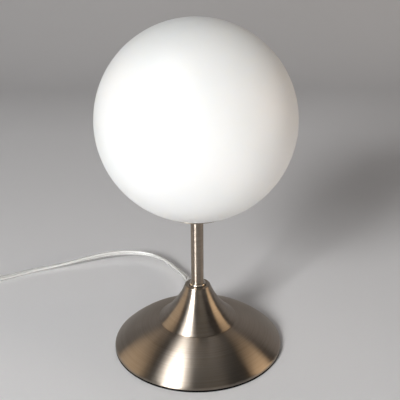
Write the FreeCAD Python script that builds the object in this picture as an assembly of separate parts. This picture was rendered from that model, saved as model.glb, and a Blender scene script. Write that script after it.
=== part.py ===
import FreeCAD, Part
import math
import os

# A table lamp: an opal glass globe on a slim tube, over a trumpet cover and a low domed base.
# Millimetres, +Z up. The origin is on the table under the middle of the tube, the front is -Y,
# and the cord leaves the base at the back.

V = FreeCAD.Vector
UP = V(0, 0, 1)
ORIGIN = V(0, 0, 0)

# Driving dimensions of the glass globe
globe_d = 150.0
globe_wall = 2.5
globe_hole_d = 48.0
rim_flat = 1.3  # width of the ring ground flat round the opening

# Driving dimensions of the stem, and of the gallery plate that carries the globe
tube_wall = 1.0
tube_gap = 0.5  # between the flat cord's edges and the tube's bore
gallery_z = 118.7  # underside of the gallery plate above the table
gallery_t = 0.8
gallery_inset = 0.3  # the plate's edge inside the ground rim's edge
gasket_t = 0.3
collar_gap = 1.5  # between the collar and the globe's opening, for the clips
collar_wall = 1.2
collar_h = 6.0
leaf_t = 0.4
leaf_w = 5.0
leaf_count = 3
leaf_hook = 2.5
edge_break = 0.4  # broken edges of spun and turned metal

# Driving dimensions of the base
base_d = 137.4
pad_t = 2.0
pad_inset = 0.1
skirt_wall = 1.0
skirt_arc_r = 80.0  # radius of the dome's outline
rim_roll_r = 3.0  # radius of the turned-down edge
ledge_z = 24.3  # the flat ring of the skirt on which the trumpet stands
ledge_land = 0.2  # the ledge's edge outside the trumpet's foot
hub_rise = 3.0  # raised middle of the skirt, inside the trumpet
hub_inset = 5.7
trumpet_foot_d = 63.4
trumpet_lip = 0.6
trumpet_rim_w = 3.0  # flat ring round the recess at the trumpet's top
trumpet_top_z = 54.8
trumpet_arc_r = 66.0
trumpet_wall = 1.0
recess_floor = 1.2
ring_nut_wall = 1.7
ring_nut_h = 6.2
ring_nut_gap = 0.5
ring_nut_proud = 2.0  # how far it stands out of the trumpet's recess
ring_nut_round = 1.5
plate_t = 1.0
plate_gap = 0.6
weight_inset = 10.7  # from the base's edge to the weight's edge
weight_gap = 0.8  # between the weight and the dome
weight_web = 7.3  # the weight's thickness where the nut clamps it
pocket_d = 28.0  # pocket in the weight for the clamping nut
washer_gap = 2.0
washer_t = 1.5
nut_wall = 2.0
nut_h = 4.0
thread_end = 1.0  # tube standing out past its lower nut

# Driving dimensions of the lampholder
holder_d = 25.6
holder_wall = 1.6
holder_cap_h = 20.0
holder_floor = 3.0
holder_edge = 0.5
entry_wall = 2.35
entry_h = 8.0
entry_end = 0.5  # the tube's end below the top of its entry
insert_flange = 1.5
insert_h = 5.0
sleeve_over = 1.85  # the sleeve's mouth above the bulb's shell
sleeve_gap = 2.5  # between the sleeve's neck and the contact liner
sleeve_step_h = 8.0
sleeve_slope = 2.0
liner_wall = 0.6
cap_shows = 3.65  # the bulb's shell standing out of the liner
contact_d = 4.4
contact_h = 1.8
terminal_size = 4.0
terminal_inset = 3.7  # from the cap's wall to the middle of each terminal
terminal_screw_d = 2.0
terminal_head_h = 1.2
terminal_head_over = 0.8
core_d = 2.8
core_bare = 1.5  # the tube's end above the place where the cores part

# Driving dimensions of the bulb
bulb_length = 86.0
bulb_belly_d = 32.0
belly_rise = 24.12  # the widest place above the neck
bulb_tip_d = 5.2
bulb_tip_h = 3.4
bulb_wall = 0.8
bulb_neck_gap = 0.5
cap_d = 11.9
cap_h = 15.0
cap_wall = 0.4
cap_taper = 0.6
thread_pitch = 2.54
thread_depth = 0.45
thread_end_h = 4.0  # plain length of the shell past its thread
button_d = 4.6
button_h = 1.1
insulator_h = 2.4
mount_rod_d = 3.2  # glass rod between the filament's two lead wires
mount_flare_h = 5.0
mount_h = 20.0
lead_d = 1.0
lead_above_flare = 13.0
lead_straight = 9.0
filament_h = 24.0
filament_half_w = 5.0
filament_top_half_w = 2.5
filament_top_h = 6.0

# Driving dimensions of the cord, its exit and what is on it
cord_w = 7.0
cord_t = 3.6
exit_turn = 5.0  # degrees that the exit is turned from the exact back, towards -X
bushing_wall = 1.6
bushing_flange = 1.4
bushing_flange_t = 1.5
bushing_tail = 18.0
bushing_tip_wall = 0.8
bend_into_tube = 2.3  # how far up the tube the cord's bend ends
channel_gap = 2.0
clamp_reach = 32.0  # from the lamp's axis to the middle of the cord clamp
clamp_room = 0.6  # under the clamp, above the bottom plate
clamp_t = 1.3
clamp_land = 1.5  # between the channel and the clamp's screws
clamp_end = 0.7
clamp_side = 1.2
clamp_bite = 6.0  # screw length in the weight
clamp_pocket_gap = 0.5
screw_d = 3.0
screw_head_d = 5.6
screw_head_h = 1.1
plate_screw_l = 8.0
plate_screw_count = 3
plate_screw_inset = 8.0  # from the weight's edge

switch_l = 62.0
switch_w = 23.0
switch_low_h = 7.0
switch_up_h = 8.5
switch_wall = 1.8
switch_floor = 1.6
switch_round = 2.0
rocker_l = 16.4
rocker_w = 10.4
rocker_tilt = 10.0  # degrees each side of level
rocker_pin_d = 2.6
rocker_pin_l = 1.6
rocker_pin_depth = 3.4  # the pins' middle below the case's top
rocker_rise = 1.0  # the rocker's ends above the shell, when level
rocker_dip = 0.4  # the rocker's middle below the shell's top
rocker_skirt = 1.6
rocker_keel = 2.88
switch_screw_d = 2.4
switch_screw_head_h = 1.2
switch_screw_bite = 4.5
switch_screw_end = 11.0  # from the case's end
switch_screw_side = 4.5  # from the case's side
cord_in_switch = 6.0
terminal_l = 7.0
terminal_half_h = 2.2
terminal_hole_d = 1.8
blade_strip_t = 0.5
blade_strip_low = 1.2
blade_strip_gap = 1.2

coil_turns_across = 3
coil_layers = 2
coil_mid_r = 38.5
coil_gap_r = 0.2  # between turns side by side
coil_gap_z = 0.1  # between layers
coil_edge = 1.6
tie_w = 6.0
tie_t = 0.8
tie_gap = 0.3
plug_l = 30.0
plug_w = 24.0
plug_h = 16.0
plug_round = 3.0
plug_neck_l = 12.0
plug_neck_wall = 1.75
plug_neck_cover = 1.7
plug_shoulder = 2.5
plug_lead = 30.0  # cord between the coil and the plug
blade_w = 6.3
blade_t = 1.5
blade_l = 17.0
blade_gap = 12.7
blade_root = 8.0
blade_bevel = 0.4

# Clearances
run = 0.05  # a nut or plate on the tube, a screw in its hole
slack = 0.1  # the cord in a hole, one fixed piece beside another
free = 0.35  # between pieces that move past each other

# The cord's route from the base to the switch. The first two points lie on the exit's own line,
# as distances from the lamp's axis. The others are places on the table, with the height of the
# cord's middle.
exit_line = [77.0, 96.0]
seen_route = [
    V(-17.0, 114.0, 5.6),
    V(-31.0, 135.5, 6.6),
    V(-50.0, 148.0, 9.0),
    V(-80.0, 150.5, 9.6),
    V(-108.0, 143.5, 7.2),
    V(-136.0, 133.5, 4.2),
    V(-164.0, 126.0, 2.3),
    V(-192.0, 109.0, 1.9),
]
switch_at = V(-247.0, 71.0, 0)
switch_heading = 215.0  # degrees from +X, the way the cord runs through the switch
switch_lead = 12.0  # level cord before the switch
coil_lead = [6.0, 24.0]  # from the switch's far end, where the cord starts and ends its drop
coil_reach = 64.0  # from the switch's far end to where the cord joins the coil
coil_tail_turn = 55.0  # degrees from +X of the plug cord, where it leaves the coil
tie_turn = 60.0  # from the cord's heading back to the tie's place on the coil
plug_lead_level = 8.0

# Sizes that follow from the values above
globe_r = globe_d / 2
tube_d = cord_w + 2 * (tube_gap + tube_wall)
tube_r = tube_d / 2
bore_r = tube_r + run
base_r = base_d / 2
pad_d = base_d - 2 * pad_inset
gallery_d = globe_hole_d + 2 * (rim_flat - gallery_inset)
gallery_top = gallery_z + gallery_t
collar_d = globe_hole_d - 2 * collar_gap
globe_rim_z = gallery_top + gasket_t
globe_z = globe_rim_z + math.sqrt(globe_r**2 - (globe_hole_d / 2 + rim_flat) ** 2)
hub_d = trumpet_foot_d - 2 * hub_inset
hub_z = ledge_z + hub_rise
nut_flats = tube_d + 2 * nut_wall
pocket_z = hub_z - skirt_wall - weight_web
washer_d = pocket_d - 2 * washer_gap
washer_z = pocket_z - washer_t
base_nut_z = washer_z - nut_h
tube_low = base_nut_z - thread_end
tube_high = gallery_top + entry_h - entry_end
plate_top = pad_t + plate_t
ring_nut_d = tube_d + 2 * ring_nut_wall
recess_d = ring_nut_d + 2 * ring_nut_gap
recess_z = trumpet_top_z + ring_nut_proud - ring_nut_h
trumpet_top_d = recess_d + 2 * trumpet_rim_w
weight_r = base_r - weight_inset
holder_z = gallery_top
entry_d = 2 * (bore_r + entry_wall)
insert_z = holder_z + holder_cap_h
insert_top = insert_z + insert_h
terminal_reach = holder_d / 2 - holder_wall - terminal_inset
button_z = insert_top + contact_h + free
cap_z = button_z + button_h + insulator_h
liner_bore_d = cap_d + 2 * free
liner_h = cap_z + cap_h - cap_shows - insert_top
sleeve_neck_d = liner_bore_d + 2 * (liner_wall + sleeve_gap + holder_wall)
sleeve_top = cap_z + cap_h + sleeve_over
bulb_top = button_z + bulb_length
bulb_neck_d = cap_d - 2 * (thread_depth + cap_wall + slack)
mount_z = cap_z + cap_h / 2 + 1
exit_z = plate_top + clamp_room + clamp_t + slack + cord_t / 2
inner_bend_r = tube_low + bend_into_tube - exit_z
core_start_z = tube_high - core_bare
bushing_w = cord_w + 2 * bushing_wall
bushing_tip_w = cord_w + 2 * bushing_tip_wall
bushing_tip_h = cord_t + 2 * bushing_tip_wall
channel_w = cord_w + 2 * channel_gap
channel_top = exit_z + cord_t / 2 + 2 * slack
clamp_low = exit_z - cord_t / 2 - slack - clamp_t
clamp_screw_gap = channel_w + screw_d + 2 * clamp_land
clamp_l = clamp_screw_gap + screw_head_d + 2 * clamp_end
clamp_w = screw_head_d + 2 * clamp_side
clamp_screw_l = clamp_t + clamp_bite
switch_h = switch_low_h + switch_up_h
switch_post_r = switch_screw_d
switch_screw_l = switch_low_h + switch_screw_bite
rocker_pivot_z = switch_h - rocker_pin_depth
cord_end_u = switch_l / 2 - cord_in_switch  # each cord's end from the switch's middle
coil_step_r = cord_t + coil_gap_r
coil_low = tie_t
coil_half = (coil_turns_across * coil_step_r) / 2
coil_out_r = coil_mid_r + coil_half
coil_in_r = coil_mid_r - coil_half
coil_h = coil_layers * (cord_w + coil_gap_z)
stub_low_z = cord_t / 2 + tie_t
stub_high_z = coil_low + coil_h - cord_t / 2 - 2 * slack
tail_reach = math.sqrt(coil_out_r**2 - (coil_mid_r - cord_w / 2) ** 2) + 1  # stubs that clear the turns
plug_front = plug_neck_l + plug_l
switch_dir = V(math.cos(math.radians(switch_heading)), math.sin(math.radians(switch_heading)), 0)


def outline(start, *steps):
    """Closed face in the XZ plane. A step is a point, or (point on the way, end point) for an arc."""
    edges = []
    here = V(start[0], 0, start[1])
    first = here
    for step in steps:
        if isinstance(step[0], tuple):
            middle, end = (V(p[0], 0, p[1]) for p in step)
            edges.append(Part.Arc(here, middle, end).toShape())
        else:
            end = V(step[0], 0, step[1])
            edges.append(Part.LineSegment(here, end).toShape())
        here = end
    if here.distanceToPoint(first) > 1e-6:
        edges.append(Part.LineSegment(here, first).toShape())
    return Part.Face(Part.Wire(edges))


def lathe(start, *steps):
    return outline(start, *steps).revolve(ORIGIN, UP, 360)


def ring(r_out, r_in, low, high):
    outer = Part.makeCylinder(r_out, high - low, V(0, 0, low))
    return outer.cut(Part.makeCylinder(r_in, high - low, V(0, 0, low)))


def block(x, y, z):
    """A box given by its low and high value along each axis."""
    return Part.makeBox(x[1] - x[0], y[1] - y[0], z[1] - z[0], V(x[0], y[0], z[0]))


def turned(shape, degrees, about=ORIGIN):
    copy = shape.copy()
    copy.rotate(about, UP, degrees)
    return copy


def moved(shape, by):
    copy = shape.copy()
    copy.translate(by)
    return copy


def to_exit(shape):
    """From the cord exit's own frame, +X outwards along the cord, to the lamp's."""
    return turned(shape, 90 + exit_turn)


def on_exit_line(reach):
    angle = math.radians(90 + exit_turn)
    return V(reach * math.cos(angle), reach * math.sin(angle), exit_z)


def arc_middle(p, q, radius, side):
    """Middle of the arc of that radius from p to q, bulging to the left for side 1."""
    chord = math.dist(p, q)
    sag = radius - math.sqrt(radius**2 - chord**2 / 4)
    across = ((p[1] - q[1]) / chord * side * sag, (q[0] - p[0]) / chord * side * sag)
    return ((p[0] + q[0]) / 2 + across[0], (p[1] + q[1]) / 2 + across[1])


def hexagon(flats, low, high):
    corners = [turned(Part.Vertex(flats / math.sqrt(3), 0, low), 60 * i).Point for i in range(7)]
    return Part.Face(Part.makePolygon(corners)).extrude(V(0, 0, high - low))


def hex_nut(low):
    """A lamp nut for the tube, with both its faces chamfered."""
    corner_r = nut_flats / math.sqrt(3)
    face_r = nut_flats / 2
    chamfer = (corner_r - face_r) / 2
    high = low + nut_h
    round_body = lathe(
        (0, low),
        (face_r, low),
        (corner_r, low + chamfer),
        (corner_r, high - chamfer),
        (face_r, high),
        (0, high),
    )
    return hexagon(nut_flats, low, high).common(round_body).cut(Part.makeCylinder(bore_r, high))


def flat_screw(shank_r, length, head_r, head_h, grow=0.0):
    """Countersunk screw, head down at z = 0 and shank upwards. grow makes it a hole for itself."""
    end = length + grow
    hole_r = shank_r + grow
    body = lathe((0, 0), (head_r + grow, 0), (hole_r, head_h + grow), (hole_r, end), (0, end))
    if grow:
        return body
    slot_half = head_r / 7
    slot = block((-head_r, head_r), (-slot_half, slot_half), (0, head_h / 2))
    return body.cut(slot)


def stadium(width, thick):
    """Flat cord section in the YZ plane, its middle at the origin."""
    half = (width - thick) / 2
    r = thick / 2
    return Part.Face(
        Part.Wire(
            [
                Part.LineSegment(V(0, -half, -r), V(0, half, -r)).toShape(),
                Part.Arc(V(0, half, -r), V(0, half + r, 0), V(0, half, r)).toShape(),
                Part.LineSegment(V(0, half, r), V(0, -half, r)).toShape(),
                Part.Arc(V(0, -half, r), V(0, -half - r, 0), V(0, -half, -r)).toShape(),
            ]
        )
    )


def round_section(diameter):
    return Part.Face(Part.Wire(Part.makeCircle(diameter / 2, ORIGIN, V(1, 0, 0))))


def aimed(section, start, towards):
    """Put a section drawn in the YZ plane at start, square to the way towards, its width level."""
    along = (towards - start).normalize()
    if abs(along.z) > 0.99:
        side = V(0, 1, 0)
    else:
        side = UP.cross(along).normalize()
    top = along.cross(side)
    rows = [value for i in range(3) for value in (along[i], side[i], top[i], start[i])]
    place = FreeCAD.Matrix(*rows, 0, 0, 0, 1)
    copy = section.copy()
    copy.transformShape(place, True)
    return copy


def bend_radius(before, corner, after):
    """Radius and length used up of the arc that rounds a corner, 0.45 of the shorter run long."""
    trim = 0.45 * min(before.distanceToPoint(corner), corner.distanceToPoint(after))
    turn = (corner - before).getAngle(after - corner)
    return trim / math.tan(turn / 2), trim, turn


def tube_along(points, section, name=None):
    """Solid of straight runs joined by tangent arcs, with the section carried along them."""
    face = aimed(section, points[0], points[1])
    here = points[0]
    pieces = []
    length = 0.0
    radii = []
    for before, corner, after in zip(points, points[1:], points[2:]):
        radius, trim, turn = bend_radius(before, corner, after)
        along = (corner - before).normalize()
        onward = (after - corner).normalize()
        start = corner - along * trim
        pieces.append(face.extrude(start - here))
        face = moved(face, start - here)
        axis = along.cross(onward).normalize()
        centre = start + axis.cross(along) * radius
        pieces.append(face.revolve(centre, axis, math.degrees(turn)))
        face = face.copy()
        face.rotate(centre, axis, math.degrees(turn))
        length += here.distanceToPoint(start) + radius * turn
        here = corner + onward * trim
        radii.append(radius)
    pieces.append(face.extrude(points[-1] - here))
    length += here.distanceToPoint(points[-1])
    solid = pieces[0].fuse(pieces[1:]) if pieces[1:] else pieces[0]
    if name:
        share = solid.Volume / (section.Area * length)
        print(f"{name}: length {length:.1f}, volume over section times length {share:.4f}")
        print(f"{name}: radii " + " ".join(f"{r:.0f}" for r in radii))
    return solid


# The dome's outline is an arc that starts on the ledge and runs into the rolled edge.
roll_centre = (base_r - rim_roll_r, pad_t)
ledge_start = (trumpet_foot_d / 2 + ledge_land, ledge_z)


def dome_centre():
    """Centre of the arc through the ledge's edge that is tangent to the rolled edge."""
    apart = math.dist(ledge_start, roll_centre)
    to_roll = skirt_arc_r - rim_roll_r
    along = (skirt_arc_r**2 - to_roll**2 + apart**2) / (2 * apart)
    across = math.sqrt(skirt_arc_r**2 - along**2)
    dx = (roll_centre[0] - ledge_start[0]) / apart
    dz = (roll_centre[1] - ledge_start[1]) / apart
    return (ledge_start[0] + dx * along + dz * across, ledge_start[1] + dz * along - dx * across)


DOME = dome_centre()


def dome_radius_at(z, inside):
    """Radius of the dome's surface at height z, taken that far inside its outer face."""
    return DOME[0] + math.sqrt((skirt_arc_r - inside) ** 2 - (z - DOME[1]) ** 2)


def dome_steps(inside):
    """The dome's outline from the axis to its lower edge, that far inside the outer face."""
    ledge = ledge_z - inside
    hub_r = hub_d / 2 - inside
    start = (dome_radius_at(ledge, inside), ledge)
    away = math.atan2(roll_centre[1] - DOME[1], roll_centre[0] - DOME[0])
    dome_r = skirt_arc_r - inside
    roll_r = rim_roll_r - inside
    meet = (DOME[0] + dome_r * math.cos(away), DOME[1] + dome_r * math.sin(away))
    middle = arc_middle(start, meet, dome_r, 1)
    rolled = (roll_centre[0] + roll_r * math.cos(away / 2), roll_centre[1] + roll_r * math.sin(away / 2))
    edge = (roll_centre[0] + roll_r, roll_centre[1])
    return [(hub_r, hub_z - inside), (hub_r, ledge), start, (middle, meet), (rolled, edge)]


def dome_body(inside):
    """Everything under the dome's surface, down to the pad."""
    return lathe((0, hub_z - inside), *dome_steps(inside), (0, pad_t))


def glass_globe():
    inner_r = globe_r - globe_wall
    hole_r = globe_hole_d / 2
    mouth_z = globe_z - math.sqrt(inner_r**2 - hole_r**2)
    return lathe(
        (hole_r, globe_rim_z),
        (hole_r + rim_flat, globe_rim_z),
        ((globe_r, globe_z), (0, globe_z + globe_r)),
        (0, globe_z + inner_r),
        ((inner_r, globe_z), (hole_r, mouth_z)),
    )


def globe_gallery():
    """Plate under the globe, with a low collar that centres the opening."""
    edge = gallery_t / 3
    r = gallery_d / 2
    collar_r = collar_d / 2
    return lathe(
        (bore_r, gallery_z),
        (r - edge, gallery_z),
        (r, gallery_z + edge),
        (r, gallery_top - edge),
        (r - edge, gallery_top),
        (collar_r, gallery_top),
        (collar_r, gallery_top + collar_h),
        (collar_r - collar_wall, gallery_top + collar_h),
        (collar_r - collar_wall, gallery_top),
        (bore_r, gallery_top),
    )


def globe_gasket():
    return ring(gallery_d / 2 - slack, collar_d / 2 + 2 * slack, gallery_top, globe_rim_z)


def gallery_springs():
    """Leaf clips hooked over the collar, bowed out towards the ground opening of the glass."""
    out_r = collar_d / 2 + run
    half = leaf_w / 2
    in_r = math.sqrt((collar_d / 2 - collar_wall) ** 2 - half**2) - run
    bow_r = math.sqrt((globe_hole_d / 2 - free) ** 2 - half**2)
    top = gallery_top + collar_h + slack
    low = globe_rim_z + 2 * leaf_t
    bow_z = (top + low) / 2
    flat_half = leaf_w / 8
    hook_low = top - leaf_hook
    leaf = outline(
        (out_r, low),
        (bow_r, bow_z - flat_half),
        (bow_r, bow_z + flat_half),
        (out_r + leaf_t, top + leaf_t),
        (in_r - leaf_t, top + leaf_t),
        (in_r - leaf_t, hook_low),
        (in_r, hook_low),
        (in_r, top),
        (out_r, top),
        (bow_r - leaf_t, bow_z + flat_half),
        (bow_r - leaf_t, bow_z - flat_half),
        (out_r, low + 2 * leaf_t),
    ).extrude(V(0, leaf_w, 0))
    leaf = moved(leaf, V(0, -half, 0))
    return [turned(leaf, 90 + 360 / leaf_count * i) for i in range(leaf_count)]


def stem_tube():
    return ring(tube_r, tube_r - tube_wall, tube_low, tube_high)


def stem_ring_nut():
    """Round nut that stands a little out of the trumpet's recess, its outer top edge rounded."""
    low = recess_z
    high = low + ring_nut_h
    r = ring_nut_d / 2
    corner = (r - ring_nut_round, high - ring_nut_round)
    diagonal = ring_nut_round * math.sqrt(0.5)
    rounding = ((corner[0] + diagonal, corner[1] + diagonal), (corner[0], high))
    return lathe((bore_r, low), (r, low), (r, corner[1]), rounding, (bore_r, high))


def trumpet_cover():
    """Spun cover with a thick neck. The ring nut sits in its recess and pulls it down."""
    top = (trumpet_top_d / 2, trumpet_top_z)
    foot = (trumpet_foot_d / 2, ledge_z + trumpet_lip)
    middle = arc_middle(top, foot, trumpet_arc_r, -1)
    chord_mid = ((top[0] + foot[0]) / 2, (top[1] + foot[1]) / 2)
    span = math.dist(middle, chord_mid)
    out = ((chord_mid[0] - middle[0]) / span, (chord_mid[1] - middle[1]) / span)
    centre = (middle[0] + out[0] * trumpet_arc_r, middle[1] + out[1] * trumpet_arc_r)
    inner_r = trumpet_arc_r + trumpet_wall
    floor_low = recess_z - recess_floor

    def inner_at(z):
        return (centre[0] - math.sqrt(inner_r**2 - (z - centre[1]) ** 2), z)

    inner_foot = inner_at(ledge_z + trumpet_lip)
    inner_top = inner_at(floor_low)
    inner_mid = arc_middle(inner_foot, inner_top, inner_r, 1)
    return lathe(
        (recess_d / 2, trumpet_top_z),
        (top[0] - edge_break, trumpet_top_z),
        (top[0], trumpet_top_z - edge_break),
        (middle, foot),
        (foot[0], ledge_z + trumpet_lip / 3),
        (foot[0] - trumpet_lip / 3, ledge_z),
        (inner_foot[0], ledge_z),
        inner_foot,
        (inner_mid, inner_top),
        (bore_r, floor_low),
        (bore_r, recess_z),
        (recess_d / 2, recess_z),
    )


def exit_notch():
    """The notch at the skirt's lower edge through which the cord bushing passes."""
    high = exit_z + cord_t / 2 + bushing_flange + slack
    half = bushing_w / 2 + slack
    return to_exit(block((hub_d / 2, base_r + 1), (-half, half), (pad_t, high)))


def base_skirt():
    shell = dome_body(0).cut(dome_body(skirt_wall))
    return shell.cut(Part.makeCylinder(bore_r, hub_z)).cut(exit_notch())


def clamp_screw_places():
    return [V(clamp_reach, side * clamp_screw_gap / 2, 0) for side in (-1, 1)]


def plate_screw_places():
    first = Part.Vertex(weight_r - plate_screw_inset, 0, 0)
    step = 360 / plate_screw_count
    start = 90 + exit_turn + step / 2
    return [turned(first, start + step * i).Point for i in range(plate_screw_count)]


def base_weight():
    """Cast weight that fills the dome, with a pocket for the nut and a channel for the cord."""
    inside = skirt_wall + weight_gap
    steps = dome_steps(inside)
    top = hub_z - skirt_wall
    boss_r = hub_d / 2 - inside
    shoulder_z = ledge_z - inside
    r = weight_r
    corner = (r, DOME[1] + math.sqrt((skirt_arc_r - inside) ** 2 - (r - DOME[0]) ** 2))
    middle = arc_middle(steps[2], corner, skirt_arc_r - inside, 1)
    body = lathe(
        (bore_r, top),
        (boss_r, top),
        (boss_r, shoulder_z),
        steps[2],
        (middle, corner),
        (r, plate_top),
        (bore_r, plate_top),
    )
    body = body.cut(Part.makeCylinder(pocket_d / 2, pocket_z - plate_top, V(0, 0, plate_top)))
    half = channel_w / 2
    body = body.cut(to_exit(block((0, base_r), (-half, half), (plate_top, channel_top))))
    half = bushing_w / 2 + bushing_flange + weight_gap
    mouth = block((bushing_inner_end(), base_r), (-half, half), (plate_top, hub_z))
    body = body.cut(to_exit(mouth))
    seat = clamp_low + clamp_t
    long, wide = clamp_l / 2 + clamp_pocket_gap, clamp_w / 2 + clamp_pocket_gap
    room = block((clamp_reach - wide, clamp_reach + wide), (-long, long), (plate_top, seat))
    body = body.cut(to_exit(room))
    hole = flat_screw(screw_d / 2, clamp_screw_l, screw_head_d / 2, screw_head_h, run)
    for place in clamp_screw_places():
        body = body.cut(to_exit(moved(hole, place + V(0, 0, clamp_low))))
    hole = flat_screw(screw_d / 2, plate_screw_l, screw_head_d / 2, screw_head_h, run)
    for place in plate_screw_places():
        body = body.cut(moved(hole, place + V(0, 0, pad_t)))
    return body


def cord_clamp():
    """Bar that presses the flat cord against the roof of its channel."""
    low = clamp_low
    half_l, half_w = clamp_l / 2, clamp_w / 2
    bar = block((clamp_reach - half_w, clamp_reach + half_w), (-half_l, half_l), (low, low + clamp_t))
    hole = flat_screw(screw_d / 2, clamp_screw_l, screw_head_d / 2, screw_head_h, run)
    for place in clamp_screw_places():
        bar = bar.cut(moved(hole, place + V(0, 0, low)))
    return to_exit(bar)


def clamp_screws():
    screw = flat_screw(screw_d / 2, clamp_screw_l, screw_head_d / 2, screw_head_h)
    return [to_exit(moved(screw, place + V(0, 0, clamp_low))) for place in clamp_screw_places()]


def base_washer():
    return ring(washer_d / 2, bore_r, washer_z, washer_z + washer_t)


def bottom_plate():
    plate = Part.makeCylinder(base_r - skirt_wall - plate_gap, plate_t, V(0, 0, pad_t))
    hole = flat_screw(screw_d / 2, plate_screw_l, screw_head_d / 2, screw_head_h, run)
    for place in plate_screw_places():
        plate = plate.cut(moved(hole, place + V(0, 0, pad_t)))
    return plate


def plate_screws():
    screw = flat_screw(screw_d / 2, plate_screw_l, screw_head_d / 2, screw_head_h)
    return [moved(screw, place + V(0, 0, pad_t)) for place in plate_screw_places()]


def foot_pad():
    edge = pad_t / 7
    r = pad_d / 2
    return lathe((0, 0), (r - edge, 0), (r, edge), (r, pad_t - edge), (r - edge, pad_t), (0, pad_t))


def bushing_inner_end():
    """How far out the weight is cut away to make room for the bushing's inner lip."""
    high = exit_z + cord_t / 2 + 2 * bushing_flange
    return dome_radius_at(high, skirt_wall + bushing_flange_t) - 2 * weight_gap


def cord_bushing():
    """Soft bushing in the skirt's notch: a lip on each side of the wall and a tapered tail."""
    high = exit_z + cord_t / 2 + bushing_flange
    low = plate_top + slack
    half = bushing_w / 2
    wall_r = dome_radius_at(exit_z, 0)
    past = 4 * bushing_flange_t  # reaches through the wall and both lips
    body = block((wall_r - past - skirt_wall, wall_r + bushing_flange_t), (-half, half), (low, high))
    lip_half = half + bushing_flange
    lip = block((wall_r - 2 * past, wall_r + 2 * past), (-lip_half, lip_half), (low, high + bushing_flange))
    lip = to_exit(lip)
    outside = dome_body(-bushing_flange_t - slack).cut(dome_body(-slack))
    inside = dome_body(skirt_wall + slack).cut(dome_body(skirt_wall + slack + bushing_flange_t))
    body = to_exit(body).common(dome_body(-bushing_flange_t - slack))
    body = body.fuse([lip.common(outside), lip.common(inside)])
    thick = high - low
    root = V(wall_r - skirt_wall, 0, (high + low) / 2)
    tip = V(wall_r + bushing_tail, 0, exit_z)
    start = aimed(stadium(bushing_w, thick), root, root + V(1, 0, 0))
    end = aimed(stadium(bushing_tip_w, bushing_tip_h), tip, tip + V(1, 0, 0))
    tail = to_exit(Part.makeLoft([start.OuterWire, end.OuterWire], True, True))
    inner_end = V(wall_r - 2 * past, 0, exit_z)
    bore = aimed(stadium(cord_w + 2 * slack, cord_t + 2 * slack), inner_end, tip)
    bore = to_exit(bore.extrude((tip - inner_end) * 2))
    return body.fuse(tail.cut(dome_body(0))).cut(bore).removeSplitter()


def inner_flex():
    """The flat cord from its exit through the clamp, up the tube and into the lampholder."""
    flat = stadium(cord_w, cord_t)
    start = V(exit_line[0], 0, exit_z)
    face = aimed(flat, start, ORIGIN + V(0, 0, exit_z))
    turn_at = V(inner_bend_r, 0, exit_z)
    level = face.extrude(turn_at - start)
    face = moved(face, turn_at - start)
    centre = turn_at + V(0, 0, inner_bend_r)
    bend = face.revolve(centre, V(0, 1, 0), 90)
    face = face.copy()
    face.rotate(centre, V(0, 1, 0), 90)
    rise = face.extrude(V(0, 0, core_start_z - exit_z - inner_bend_r))
    return to_exit(level.fuse([bend, rise]))


def core(side):
    """One core, from the end of the flat cord to its terminal."""
    low = core_start_z
    high = insert_z - terminal_size
    rise = high - low
    path = [
        V(0, side * cord_w / 4, low),
        V(0, side * cord_w / 4, low + 0.4 * rise),
        V(0, side * terminal_reach, high - 0.3 * rise),
        V(0, side * terminal_reach, high),
    ]
    return to_exit(tube_along(path, round_section(core_d)))


def lampholder_cap():
    """Cup that screws on the tube's upper end and clamps the gallery against its nut."""
    r = holder_d / 2
    high = insert_z
    floor = holder_z + holder_floor
    entry = holder_z + entry_h
    return lathe(
        (bore_r, holder_z),
        (r - holder_edge, holder_z),
        (r, holder_z + holder_edge),
        (r, high),
        (r - holder_wall, high),
        (r - holder_wall, floor),
        (entry_d / 2, floor),
        (entry_d / 2, entry),
        (bore_r, entry),
    )


def lampholder_insert():
    """Carrier of the contacts: a flange between cap and sleeve, and a plug inside the sleeve."""
    r = holder_d / 2
    plug_r = r - holder_wall - slack
    return lathe(
        (contact_d / 4 + run, insert_z),
        (r, insert_z),
        (r, insert_z + insert_flange),
        (plug_r, insert_z + insert_flange),
        (plug_r, insert_top),
        (contact_d / 4 + run, insert_top),
    )


def lampholder_sleeve():
    r = holder_d / 2
    low = insert_z + insert_flange
    high = sleeve_top
    step = low + sleeve_step_h
    neck_r = sleeve_neck_d / 2
    return lathe(
        (r - holder_wall, low),
        (r, low),
        (r, step),
        (neck_r + holder_edge, high - holder_edge),
        (neck_r, high),
        (neck_r - holder_wall, high),
        (neck_r - holder_wall, step + sleeve_slope),
        (r - holder_wall, step),
    )


def contact_liner():
    """Brass screw shell of the lampholder, standing on the insert."""
    bore = liner_bore_d / 2
    hole_r = contact_d
    return lathe(
        (hole_r, insert_top),
        (bore + liner_wall, insert_top),
        (bore + liner_wall, insert_top + liner_h),
        (bore, insert_top + liner_h),
        (bore, insert_top + liner_wall),
        (hole_r, insert_top + liner_wall),
    )


def centre_contact():
    """Domed contact with its rivet through the insert."""
    r = contact_d / 2
    top = insert_top + contact_h
    edge = contact_h / 4
    return lathe(
        (0, insert_z),
        (r / 2, insert_z),
        (r / 2, insert_top),
        (r, insert_top),
        (r, top - edge),
        (r - edge, top),
        (0, top),
    )


def holder_terminals():
    """Brass blocks under the insert, each with a blind hole for its core's screw."""
    half = terminal_size / 2
    low = insert_z - terminal_size
    blocks = []
    for side in (-1, 1):
        at = side * terminal_reach
        body = block((-half, half), (at - half, at + half), (low, insert_z))
        hole = Part.makeCylinder(terminal_screw_d / 2 + run, half, V(half, at, low + half), V(-1, 0, 0))
        blocks.append(to_exit(body.cut(hole)))
    return blocks


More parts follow.
